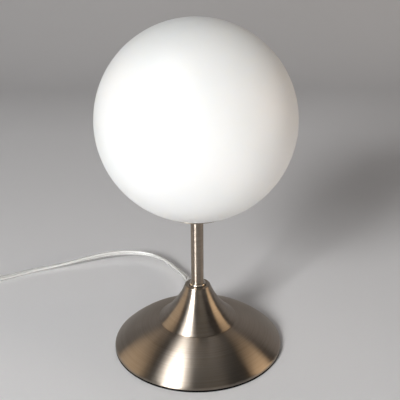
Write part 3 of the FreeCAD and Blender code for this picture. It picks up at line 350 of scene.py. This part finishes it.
twist = {"Vector": start, "Axis": onward, "Angle": angle.outputs[0]}
wound = add(tree, "ShaderNodeVectorRotate", twist).outputs["Vector"]
moved = {"Geometry": even.outputs["Curve"], "Offset": wound}
coiled = add(tree, "GeometryNodeSetPosition", moved).outputs["Geometry"]
thin = add(tree, "ShaderNodeMath", {0: given["Wire diameter"], 1: 0.5}, operation="MULTIPLY")
sides = {"Resolution": 5, "Radius": thin.outputs[0]}
section = add(tree, "GeometryNodeCurvePrimitiveCircle", sides).outputs["Curve"]
wire_parts = {"Curve": coiled, "Profile Curve": section, "Fill Caps": True}
wire = add(tree, "GeometryNodeCurveToMesh", wire_parts)
end_shape_tree(tree, wire.outputs["Mesh"], given, result)
tungsten = grained_finish(
    "drawn_tungsten", "6a6a6d", "47474b",
    grain=0.0004, relief=0.00002, gloss=(0.3, 0.5), fixed=metallic,
)
nickel_wire = grained_finish(
    "nickel_lead_wire", "b9b4ab", "938f88",
    grain=0.0005, relief=0.00002, gloss=(0.2, 0.35), fixed=metallic,
)
lead_low, lead_high, hang_z, hook_z = 0.1718, 0.1807, 0.1897, 0.1953
lead_x, hang_x, hook_x = 0.0022, 0.0048, 0.0025
half_hung = [(-lead_x, 0, lead_high), (-hang_x, 0, hang_z), (-hook_x, 0, hook_z)]
hung = half_hung + [(-x, y, z) for x, y, z in half_hung[::-1]]
filament = shape_by_nodes("bulb_filament_wound", tree, winding, tungsten, bent_path(hung))
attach(filament, "bulb")
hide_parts("bulb_filament")
straight = {"Coil diameter": 0.0, "Pitch": 1.0, "Wire diameter": 0.0007, "Points": 12}
lead_past = 0.0006  # how far a lead stands past the wire that it holds
lead_heights = (lead_low, (lead_low + lead_high) / 2, lead_high + lead_past)
for side, name in ((-1, "bulb_lead_left"), (1, "bulb_lead_right")):
    lead_path = bent_path([(side * lead_x, 0, z) for z in lead_heights])
    lead = shape_by_nodes(name, tree, straight, nickel_wire, lead_path)
    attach(lead, "bulb")

# The globe is opal glass, blown in a mould 2.5 mm thick, acid etched outside and ground flat round
# its opening. Its milk scatters light through the whole wall, so it glows softly on its far side.
etch_grain, cloud_size = 1400.0, 22.0  # to the metre, so 0.7 mm, coarser than real, and 45 mm
opal, tree = new_finish("etched_opal_glass")
place = add(tree, "ShaderNodeTexCoord").outputs["Object"]
noise = {"Vector": place, "Detail": 2.0}
etch = add(tree, "ShaderNodeTexNoise", {**noise, "Scale": etch_grain}).outputs["Fac"]
clouds = add(tree, "ShaderNodeTexNoise", {**noise, "Scale": cloud_size}).outputs["Fac"]
milk_tones = {mix_share: clouds, mix_first: linear("f7fbfd"), mix_second: linear("f0f4f6")}
milk_tone = add(tree, "ShaderNodeMix", milk_tones, data_type="RGBA")
satin = add(tree, "ShaderNodeMapRange", {"Value": etch, "To Min": 0.4, "To Max": 0.52})
pits = add(tree, "ShaderNodeBump", {"Height": etch, "Strength": 0.06, "Distance": 0.00005})
milk = {
    "Base Color": milk_tone.outputs[mix_result],
    "Roughness": satin.outputs["Result"],
    "IOR": 1.5,
    "Subsurface Weight": 1.0,
    "Subsurface Radius": (1.0, 0.97, 0.92),
    "Subsurface Scale": 0.002,
    "Normal": pits.outputs["Normal"],
}
shader = add(tree, "ShaderNodeBsdfPrincipled", milk)
add(tree, "ShaderNodeOutputMaterial", {"Surface": shader.outputs["BSDF"]})

# Its wall is drawn as half a section, two arcs joined at the opening by the ground rim, and spun
# round the upright axis. The spin leaves it upside down, so it is turned over and lifted.
globe_sizes = {
    "Diameter": 0.150,
    "Wall": 0.0025,
    "Opening diameter": 0.048,
    "Ground rim": 0.0013,
    "Rim height": 0.1198,
    "Points round": 160,
    "Points down": 96,
}
axle_r = 0.0001  # the spin's own radius, taken off the section again
weld = 0.00002  # points nearer than this become one
tree, given, result = new_shape_tree("blown_globe", globe_sizes)
globe_d, wall, opening_d = given["Diameter"], given["Wall"], given["Opening diameter"]
globe_r = add(tree, "ShaderNodeMath", {0: globe_d, 1: 0.5}, operation="MULTIPLY").outputs[0]
inner_r = add(tree, "ShaderNodeMath", {0: globe_r, 1: wall}, operation="SUBTRACT").outputs[0]
hole_r = add(tree, "ShaderNodeMath", {0: opening_d, 1: 0.5}, operation="MULTIPLY").outputs[0]
rim_r = add(tree, "ShaderNodeMath", {0: hole_r, 1: given["Ground rim"]}).outputs[0]
outlines = []
depths = []
for ball_r, mouth_r in ((globe_r, rim_r), (inner_r, hole_r)):
    share = add(tree, "ShaderNodeMath", {0: mouth_r, 1: ball_r}, operation="DIVIDE").outputs[0]
    cut = add(tree, "ShaderNodeMath", {0: share}, operation="ARCSINE").outputs[0]
    begin = add(tree, "ShaderNodeMath", {0: cut, 1: math.pi / 2}, operation="SUBTRACT").outputs[0]
    sweep = add(tree, "ShaderNodeMath", {0: math.pi, 1: cut}, operation="SUBTRACT").outputs[0]
    fall = add(tree, "ShaderNodeMath", {0: cut}, operation="COSINE").outputs[0]
    depth = add(tree, "ShaderNodeMath", {0: fall, 1: ball_r}, operation="MULTIPLY").outputs[0]
    depths.append(depth)
    arc = {"Resolution": given["Points down"], "Radius": ball_r}
    arc.update({"Start Angle": begin, "Sweep Angle": sweep})
    outlines.append(add(tree, "GeometryNodeCurveArc", arc).outputs["Curve"])
rim_z = add(tree, "ShaderNodeMath", {0: 0.0, 1: depths[0]}, operation="SUBTRACT").outputs[0]
mouth_z = add(tree, "ShaderNodeMath", {0: 0.0, 1: depths[1]}, operation="SUBTRACT").outputs[0]
rim_out = add(tree, "ShaderNodeCombineXYZ", {"X": rim_r, "Y": rim_z}).outputs[0]
rim_in = add(tree, "ShaderNodeCombineXYZ", {"X": hole_r, "Y": rim_z}).outputs[0]
mouth_top = add(tree, "ShaderNodeCombineXYZ", {"X": hole_r, "Y": mouth_z}).outputs[0]
for start, end in ((rim_out, rim_in), (rim_in, mouth_top)):
    flat_part = add(tree, "GeometryNodeCurvePrimitiveLine", {"Start": start, "End": end})
    outlines.append(flat_part.outputs["Curve"])
outline = add(tree, "GeometryNodeJoinGeometry")
for part in outlines:
    tree.links.new(part, outline.inputs["Geometry"])
shifted = {"Geometry": outline.outputs["Geometry"], "Translation": (-axle_r, 0, 0)}
inwards = add(tree, "GeometryNodeTransform", shifted)
axle_ring = {"Resolution": given["Points round"], "Radius": axle_r}
axle = add(tree, "GeometryNodeCurvePrimitiveCircle", axle_ring)
spun_parts = {"Curve": axle.outputs["Curve"], "Profile Curve": inwards.outputs["Geometry"]}
spun = add(tree, "GeometryNodeCurveToMesh", spun_parts)
lift = add(tree, "ShaderNodeMath", {0: given["Rim height"], 1: depths[0]}).outputs[0]
lift_by = add(tree, "ShaderNodeCombineXYZ", {"Z": lift}).outputs[0]
upright = {"Geometry": spun.outputs["Mesh"], "Translation": lift_by, "Rotation": (math.pi, 0, 0)}
raised = add(tree, "GeometryNodeTransform", upright).outputs["Geometry"]
closed = add(tree, "GeometryNodeMergeByDistance", {"Geometry": raised, "Distance": weld})
end_shape_tree(tree, closed.outputs["Geometry"], given, result)
seed = piece_from("seed", bpy.data.meshes.new("seed"))
globe = shape_by_nodes("opal_globe", tree, globe_sizes, opal, seed)
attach(globe, "globe")
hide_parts("glass_globe")

# The flexible cord is two bright stranded cores side by side in one clear jacket, 7 mm wide and
# 3.6 mm thick, with a shallow groove along the middle. It leaves the base at the back through a
# tapered soft bushing and runs tilted over a low hump, then flat along the table to the switch.
cord_width = 0.0070
cord_thick = 0.0036
core_d = 0.0021
lobe_r = cord_thick / 2
core_r = core_d / 2
core_out = (cord_width - cord_thick) / 2  # how far a core is from the cord's middle
groove = lobe_r * 0.8  # the jacket's half thickness there
lobe_angles = range(-115, 116, 23)
core_angles = range(0, 360, 45)


def smooth_line(points):
    """The points along the smooth curve that those points shape."""
    path = bent_path(points)
    path.data.resolution_u = 6
    mesh = bpy.data.meshes.new_from_object(path)
    line = [v.co.copy() for v in mesh.vertices]
    bpy.data.meshes.remove(mesh)
    bpy.data.curves.remove(path.data)
    return line


def jacket_outline():
    """Two round lobes with a shallow groove above and below."""
    turns = [math.radians(a) for a in lobe_angles]
    right_side = [(core_out + lobe_r * math.cos(a), lobe_r * math.sin(a)) for a in turns]
    left_side = [(-x, -y) for x, y in right_side]
    return right_side + [(0, groove)] + left_side + [(0, -groove)]


def core_outline(side):
    """A round core on that side, -1 or 1."""
    turns = [math.radians(a) for a in core_angles]
    return [(side * core_out + core_r * math.cos(a), core_r * math.sin(a)) for a in turns]


def flat_cord(name, route, rolls):
    """Jacket and two cores swept along the route's smooth line, and the points of that line.

    Each point of the route has its roll in degrees, and 90 stands the cord on edge.
    """
    line = smooth_line(route)
    roll_points = [(math.radians(roll), i, 0) for i, roll in enumerate(rolls)]
    turns = [p.x for p in smooth_line(roll_points)]
    travelled = [0.0]
    for a, b in zip(line, line[1:]):
        travelled.append(travelled[-1] + (b - a).length)
    shape = bmesh.new()
    uv = shape.loops.layers.uv.new("cord")
    for slot, outline in ((0, jacket_outline()), (1, core_outline(-1)), (1, core_outline(1))):
        rings = []
        for i, (place, turn) in enumerate(zip(line, turns)):
            heading = (line[min(i + 1, len(line) - 1)] - line[max(i - 1, 0)]).normalized()
            side = heading.cross(Vector((0, 0, 1))).normalized()
            top = side.cross(heading)
            wide = side * math.cos(turn) + top * math.sin(turn)
            thick = wide.cross(heading)
            rings.append([shape.verts.new(place + wide * x + thick * y) for x, y in outline])
        count = len(outline)
        for i in range(len(line) - 1):
            for j in range(count):
                k = (j + 1) % count
                around = (rings[i][j], rings[i][k], rings[i + 1][k], rings[i + 1][j])
                face = shape.faces.new(around)
                face.smooth = True
                face.material_index = slot
                corners = ((i, j), (i, j + 1), (i + 1, j + 1), (i + 1, j))
                for loop, (a, b) in zip(face.loops, corners):
                    loop[uv].uv = (travelled[a], b / count)
        for end in (rings[0], rings[-1]):
            shape.faces.new(end).material_index = slot
    bmesh.ops.recalc_face_normals(shape, faces=shape.faces)
    mesh = bpy.data.meshes.new(name)
    shape.to_mesh(mesh)
    shape.free()
    return piece_from(name, mesh, clear_pvc, tinned_strands), [tuple(p) for p in line]


# Plasticised PVC, extruded clear: it lets the cores show and has a wet-looking gloss with faint
# draw marks and a few scuffs, about 1 mm across.
clear_pvc, tree = new_finish("clear_pvc_jacket")
place = add(tree, "ShaderNodeTexCoord").outputs["Object"]
drawn = {"Vector": place, "Scale": 900.0, "Detail": 3.0}
marks = add(tree, "ShaderNodeTexNoise", drawn).outputs["Fac"]
gloss = add(tree, "ShaderNodeMapRange", {"Value": marks, "To Min": 0.08, "To Max": 0.2})
relief = add(tree, "ShaderNodeBump", {"Height": marks, "Strength": 0.2, "Distance": 0.0002})
clear = {
    "Base Color": linear("f8faf8"),
    "Roughness": gloss.outputs["Result"],
    "IOR": 1.45,
    "Alpha": 0.34,
    "Coat Weight": 0.6,
    "Coat Roughness": 0.08,
    "Normal": relief.outputs["Normal"],
}
jacket = add(tree, "ShaderNodeBsdfPrincipled", clear)
add(tree, "ShaderNodeOutputMaterial", {"Surface": jacket.outputs["BSDF"]})

# Tinned copper strands, laid in a twist: silvery, with slanting glints every few millimetres.
tinned_strands, tree = new_finish("tinned_strands")
along = add(tree, "ShaderNodeUVMap", uv_map="cord").outputs["UV"]
slant = {"Vector": along, "Scale": (110.0, 3.0, 1.0), "Rotation": (0, 0, 0.5)}
lay = add(tree, "ShaderNodeMapping", slant).outputs["Vector"]
twisted = {"Vector": lay, "Scale": 1.0, "Distortion": 1.0}
strands = add(tree, "ShaderNodeTexWave", twisted).outputs["Fac"]
tone = add(tree, "ShaderNodeValToRGB", {"Fac": strands})
tone.color_ramp.elements[0].color = linear("e6e6e3")
tone.color_ramp.elements[1].color = linear("ffffff")
relief = add(tree, "ShaderNodeBump", {"Height": strands, "Strength": 0.6, "Distance": 0.0003})
tinned = {
    "Base Color": tone.outputs["Color"],
    "Metallic": 0.2,
    "Roughness": 0.3,
    "Normal": relief.outputs["Normal"],
}
wire = add(tree, "ShaderNodeBsdfPrincipled", tinned)
add(tree, "ShaderNodeOutputMaterial", {"Surface": wire.outputs["BSDF"]})

switch_at = Vector((-0.247, 0.071, 0))
switch_turn = math.radians(215)
switch_dir = Vector((math.cos(switch_turn), math.sin(switch_turn), 0))
switch_end = 0.025  # from the switch's middle to where the cord goes in
in_switch = Vector((0, 0, 0.007))  # the cord's height there
lamp_exit = (-0.00671, 0.07671, 0.0068)
seen_route = [
    lamp_exit,
    (-0.00837, 0.09563, 0.0068),
    (-0.0170, 0.1140, 0.0056),
    (-0.0310, 0.1355, 0.0066),
    (-0.0500, 0.1480, 0.0090),
    (-0.0800, 0.1505, 0.0096),
    (-0.1080, 0.1435, 0.0072),
    (-0.1360, 0.1335, 0.0042),
    (-0.1640, 0.1260, 0.0023),
    (-0.1920, 0.1090, 0.0019),
    switch_at - switch_dir * 0.043 + in_switch,
    switch_at - switch_dir * switch_end + in_switch,
]
seen_rolls = [0, -15, -38, -42, -52, -60, -50, -25, -8, 0, 0, 0]
mains_cord, line = flat_cord("mains_cord_clear", seen_route, seen_rolls)
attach(mains_cord, "lamp")
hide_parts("mains_cord")
soft = {"Transmission Weight": 0.45, "IOR": 1.45}
bushing_rubber = grained_finish(
    "soft_moulded_pvc", "e6e4de", "d3d0c8",
    grain=0.0012, relief=0.00006, gloss=(0.32, 0.48), fixed=soft,
)
dress(bushing_rubber, "cord_bushing")
covered = {"Transmission Weight": 0.2, "IOR": 1.45, "Metallic": 0.3}
flex_skin = grained_finish(
    "pvc_over_strands", "e4e1d9", "b3afa7",
    grain=0.0009, relief=0.0001, gloss=(0.15, 0.3), fixed=covered,
)
dress(flex_skin, "inner_flex")

# The inline switch is a two-part shell of white moulded plastic, with a rocker that tilts on two
# pins. Spark erosion gave its mould a fine matt grain.
white_plastic = grained_finish(
    "moulded_white_plastic", "eeeeea", "e2e2dd",
    grain=0.0006, relief=0.00005, gloss=(0.34, 0.46),
)
dress(white_plastic, "switch_lower", "switch_upper", "plug_body")
polished = {"Coat Weight": 0.3, "Coat Roughness": 0.1}
rocker_plastic = grained_finish(
    "polished_white_plastic", "f3f3f0", "e9e9e5",
    grain=0.0009, relief=0.00002, gloss=(0.16, 0.26), fixed=polished,
)
dress(rocker_plastic, "switch_rocker")

# The rest of the cord goes from the switch to a round coil, wound on its edge as for storage: three
# turns outside one another going in below, and three coming out on top, then on to the plug.
coil_r = 0.0385
coil_reach = 0.095  # from the switch's middle to where the coil begins
turn_gap = 0.0038
layer_low = 0.00435  # the lower turns' middle above the table
layer_rise = 0.0071
tie_t = 0.0008
coil_side = Vector((-switch_dir.y, switch_dir.x, 0))
coil_join = switch_at + switch_dir * coil_reach
coil_centre = coil_join + coil_side * coil_r
join_angle = switch_turn - math.pi / 2
slots = [(1, 0), (0, 0), (-1, 0), (-1, 1), (0, 1), (1, 1)]  # each turn's ring and layer
shift_from = [-50, -70, -95, -130, -145]  # degrees from each full turn
shift_width = 40
coil_step = 20
coil_sweep = 2000


def coil_point(degrees):
    """Where the cord is after that much winding: its slots change just before each full turn."""
    ring, layer = slots[0]
    for k, start in enumerate(shift_from):
        done = min(max((degrees - 360 * (k + 1) - start) / shift_width, 0), 1)
        ease = done * done * (3 - 2 * done)
        ring += (slots[k + 1][0] - slots[k][0]) * ease
        layer += (slots[k + 1][1] - slots[k][1]) * ease
    angle = join_angle + math.radians(degrees)
    radius = (coil_r + ring * turn_gap) / math.cos(math.radians(coil_step / 2))
    flat = coil_centre + Vector((math.cos(angle), math.sin(angle), 0)) * radius
    return flat + Vector((0, 0, layer_low + layer * layer_rise))


out = coil_side * -turn_gap
low_flat = Vector((0, 0, cord_thick / 2 + tie_t))
tilt_rise = Vector((0, 0, 0.0006))
low_on_edge = Vector((0, 0, layer_low))
put_away = [  # each point with its roll
    (switch_at + switch_dir * switch_end + in_switch, 0),
    (switch_at + switch_dir * 0.037 + in_switch, 0),
    (switch_at + switch_dir * 0.052 + out * 0.5 + low_flat, 0),
    (coil_join - switch_dir * 0.030 + out + low_flat + tilt_rise, 30),
    (coil_join - switch_dir * 0.016 + out + low_on_edge, 75),
]
put_away += [(coil_point(a), 90) for a in range(0, coil_sweep + 1, coil_step)]
tail_angle = join_angle + math.radians(coil_sweep)
tail_dir = Vector((-math.sin(tail_angle), math.cos(tail_angle), 0))
tail_out = Vector((math.cos(tail_angle), math.sin(tail_angle), 0))
tail_at = coil_centre + tail_out * coil_r
high = layer_low + layer_rise
in_plug = 0.008  # the cord's height there
put_away += [
    (tail_at + tail_out * turn_gap + tail_dir * 0.014 + Vector((0, 0, high)), 75),
    (tail_at + tail_out * turn_gap * 0.6 + tail_dir * 0.029 + Vector((0, 0, high + 0.001)), 30),
    (tail_at + tail_dir * 0.045 + Vector((0, 0, 0.0100)), 5),
    (tail_at + tail_dir * 0.054 + Vector((0, 0, in_plug)), 0),
    (tail_at + tail_dir * 0.060 + Vector((0, 0, in_plug)), 0),
]
coil_route = [p for p, roll in put_away]
coil_rolls = [roll for p, roll in put_away]
plug_side, line = flat_cord("plug_cord_clear", coil_route, coil_rolls)
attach(plug_side, "lamp")
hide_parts("cord_to_coil", "cord_coil", "plug_cord")
tie_finish = grained_finish(
    "soft_pvc_tie", "dcdbd5", "cac8c0",
    grain=0.0010, relief=0.00005, gloss=(0.4, 0.55), fixed={"Transmission Weight": 0.15},
)
dress(tie_finish, "coil_tie")

# The plug is moulded on the cord: white plastic with finger ribs down both sides, and two flat
# brass blades, nickel plated.
plated = grained_finish(
    "nickel_plated_brass", "cfc9bd", "aea89b",
    grain=0.0012, relief=0.00003, gloss=(0.14, 0.3), fixed=metallic,
)
dress(plated, "plug_blades")
plug_front = Vector((-0.21385, 0.0448, 0.008))
plug_turn = math.radians(55)
plug_dir = Vector((math.cos(plug_turn), math.sin(plug_turn), 0))
plug_side_way = Vector((-plug_dir.y, plug_dir.x, 0))
first_rib = plug_front - plug_dir * 0.022
ribs = {"Ribs": 6, "Rib pitch": 0.0028, "Rib diameter": 0.0013, "Rib height": 0.0085}
ribs["Apart"] = 0.0237
tree, given, result = new_shape_tree("finger_ribs", ribs)
step = add(tree, "ShaderNodeCombineXYZ", {"X": given["Rib pitch"]}).outputs[0]
half_height = add(tree, "ShaderNodeMath", {0: given["Rib height"], 1: 0.5}, operation="MULTIPLY")
below = add(tree, "ShaderNodeMath", {0: 0.0, 1: half_height.outputs[0]}, operation="SUBTRACT")
rib_r = add(tree, "ShaderNodeMath", {0: given["Rib diameter"], 1: 0.5}, operation="MULTIPLY")
low_end = add(tree, "ShaderNodeCombineXYZ", {"Z": below.outputs[0]}).outputs[0]
high_end = add(tree, "ShaderNodeCombineXYZ", {"Z": half_height.outputs[0]}).outputs[0]
rib_line = add(tree, "GeometryNodeCurvePrimitiveLine", {"Start": low_end, "End": high_end})
rib_ring = {"Resolution": 12, "Radius": rib_r.outputs[0]}
rib_round = add(tree, "GeometryNodeCurvePrimitiveCircle", rib_ring).outputs["Curve"]
rib_parts = {"Curve": rib_line.outputs["Curve"], "Profile Curve": rib_round, "Fill Caps": True}
rib = add(tree, "GeometryNodeCurveToMesh", rib_parts)
both_rows = add(tree, "GeometryNodeJoinGeometry")
for side in (-0.5, 0.5):
    off = add(tree, "ShaderNodeMath", {0: given["Apart"], 1: side}, operation="MULTIPLY").outputs[0]
    row_start = add(tree, "ShaderNodeCombineXYZ", {"Y": off}).outputs[0]
    row_parts = {"Count": given["Ribs"], "Start Location": row_start, "Offset": step}
    row = add(tree, "GeometryNodeMeshLine", row_parts, mode="OFFSET", count_mode="TOTAL")
    tree.links.new(row.outputs["Mesh"], both_rows.inputs["Geometry"])
standing = {"Points": both_rows.outputs["Geometry"], "Instance": rib.outputs["Mesh"]}
stood = add(tree, "GeometryNodeInstanceOnPoints", standing)
end_shape_tree(tree, stood.outputs["Instances"], given, result)
seed = piece_from("seed", bpy.data.meshes.new("seed"))
grips = shape_by_nodes("plug_finger_ribs", tree, ribs, white_plastic, seed)
placing = Matrix((plug_dir, plug_side_way, Vector((0, 0, 1)))).transposed().to_4x4()
grips.data.transform(Matrix.Translation(first_rib) @ placing)
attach(grips, "lamp")

# The table and the wall behind it are one sheet of pale grey card that curves up at the back. Its
# colour is painted darker towards the back, as painted shade for the dimmer light there. Its fibres
# are drawn 1.4 mm wide, coarser than real.
half_width = 2.4
front_y, bend_y, bend_r = -1.3, 0.9, 0.5
sheet_top = 2.6
run = [(front_y, 0.0), (bend_y, 0.0)]
for turn in [math.radians(a) for a in range(10, 91, 10)]:
    run.append((bend_y + bend_r * math.sin(turn), bend_r - bend_r * math.cos(turn)))
run.append((bend_y + bend_r, sheet_top))
sheet = bmesh.new()
edges = [[sheet.verts.new((x, y, z)) for y, z in run] for x in (-half_width, half_width)]
for i in range(len(run) - 1):
    corners = (edges[0][i], edges[1][i], edges[1][i + 1], edges[0][i + 1])
    sheet.faces.new(corners).smooth = True
card = bpy.data.meshes.new("paper_sweep")
sheet.to_mesh(card)
sheet.free()
grey_card, tree = new_finish("grey_card")
place = add(tree, "ShaderNodeTexCoord").outputs["Object"]
split = add(tree, "ShaderNodeSeparateXYZ", {"Vector": place})
# Painted shade: the card's colour goes from light to dark grey between 0.6 m and 1.6 m back,
# standing in for the light that falls off there.
painted_falloff_range = {"Value": split.outputs["Y"], "From Min": 0.6, "From Max": 1.6}
painted_shade_share = add(tree, "ShaderNodeMapRange", painted_falloff_range).outputs["Result"]
fibres = add(tree, "ShaderNodeTexNoise", {"Vector": place, "Scale": 700.0, "Detail": 3.0})
card_tones = {mix_share: painted_shade_share, mix_first: linear("f2f2f4"), mix_second: linear("bebdbe")}
tone = add(tree, "ShaderNodeMix", card_tones, data_type="RGBA").outputs[mix_result]
flecks = {mix_share: 0.04, mix_first: tone, mix_second: fibres.outputs["Color"]}
speck = add(tree, "ShaderNodeMix", flecks, data_type="RGBA").outputs[mix_result]
matt = add(tree, "ShaderNodeBsdfDiffuse", {"Color": speck})
add(tree, "ShaderNodeOutputMaterial", {"Surface": matt.outputs["BSDF"]})
piece_from("paper_sweep", card, grey_card)

# Plain soft light: a soft box low on the left in front, which throws the long shadow, a weak one
# overhead, and two far fills close to the table. Six cards only mirror in the metal: three white
# ones on the left, a faint one in front on the right, and two warm ones at the sides.
aimed_at = Vector((0, 0, 0.1))
for name, place, size, power, colour, diffuse, mirrored in (
    ("soft_box_low_left", (-0.82, -1.31, 0.80), 0.44, 23.5, "fffefc", True, True),
    ("soft_box_top", (0.1, 0.3, 1.6), 0.9, 1.9, "ffffff", True, True),
    ("fill_far_right", (2.5, -0.6, 0.28), 0.8, 22.0, "ffeedd", True, False),
    ("fill_far_front", (-0.3, -2.6, 0.25), 0.8, 9.5, "ffffff", True, False),
    ("card_high_left", (-0.54, -0.4, 1.3), 0.6, 10.0, "ffffff", False, True),
    ("card_mid_left", (-0.61, -0.87, 1.16), 0.3, 2.4, "ffffff", False, True),
    ("card_low_left", (-0.90, -1.24, 0.35), 0.45, 15.0, "ffffff", False, True),
    ("card_front_right", (0.5, -1.3, 0.8), 0.9, 0.8, "fff2e0", False, True),
    ("warm_card_right", (1.1, 0.0, 0.45), 0.6, 2.6, "ffdfb8", False, True),
    ("warm_card_left", (-1.1, 0.22, 0.5), 0.9, 2.7, "ffe4c2", False, True),
):
    lamp = bpy.data.lights.new(name, "AREA")
    lamp.size = size
    lamp.energy = power
    lamp.color = linear(colour)[:3]
    holder = bpy.data.objects.new(name, lamp)
    holder.visible_diffuse = diffuse
    holder.visible_glossy = mirrored
    bpy.context.collection.objects.link(holder)
    holder.location = place
    holder.rotation_euler = (aimed_at - Vector(place)).to_track_quat("-Z", "Y").to_euler()

# The room gives a little grey light. Past the sheet's edges the camera and glass see it pale.
world = bpy.data.worlds.new("studio")
bpy.context.scene.world = world
world.use_nodes = True
tree = world.node_tree
tree.nodes.clear()
ray = add(tree, "ShaderNodeLightPath").outputs
looks = {0: ray["Is Camera Ray"], 1: ray["Is Transmission Ray"]}
seen = add(tree, "ShaderNodeMath", looks, operation="MAXIMUM").outputs[0]
room_light = add(tree, "ShaderNodeBackground", {"Color": linear("8c8c8c"), "Strength": 0.08})
room_seen = add(tree, "ShaderNodeBackground", {"Color": linear("c4c4c6"), "Strength": 1.0})
both = {0: seen, 1: room_light.outputs["Background"], 2: room_seen.outputs["Background"]}
room = add(tree, "ShaderNodeMixShader", both)
add(tree, "ShaderNodeOutputWorld", {"Surface": room.outputs["Shader"]})
bpy.context.scene.view_settings.view_transform = "Standard"
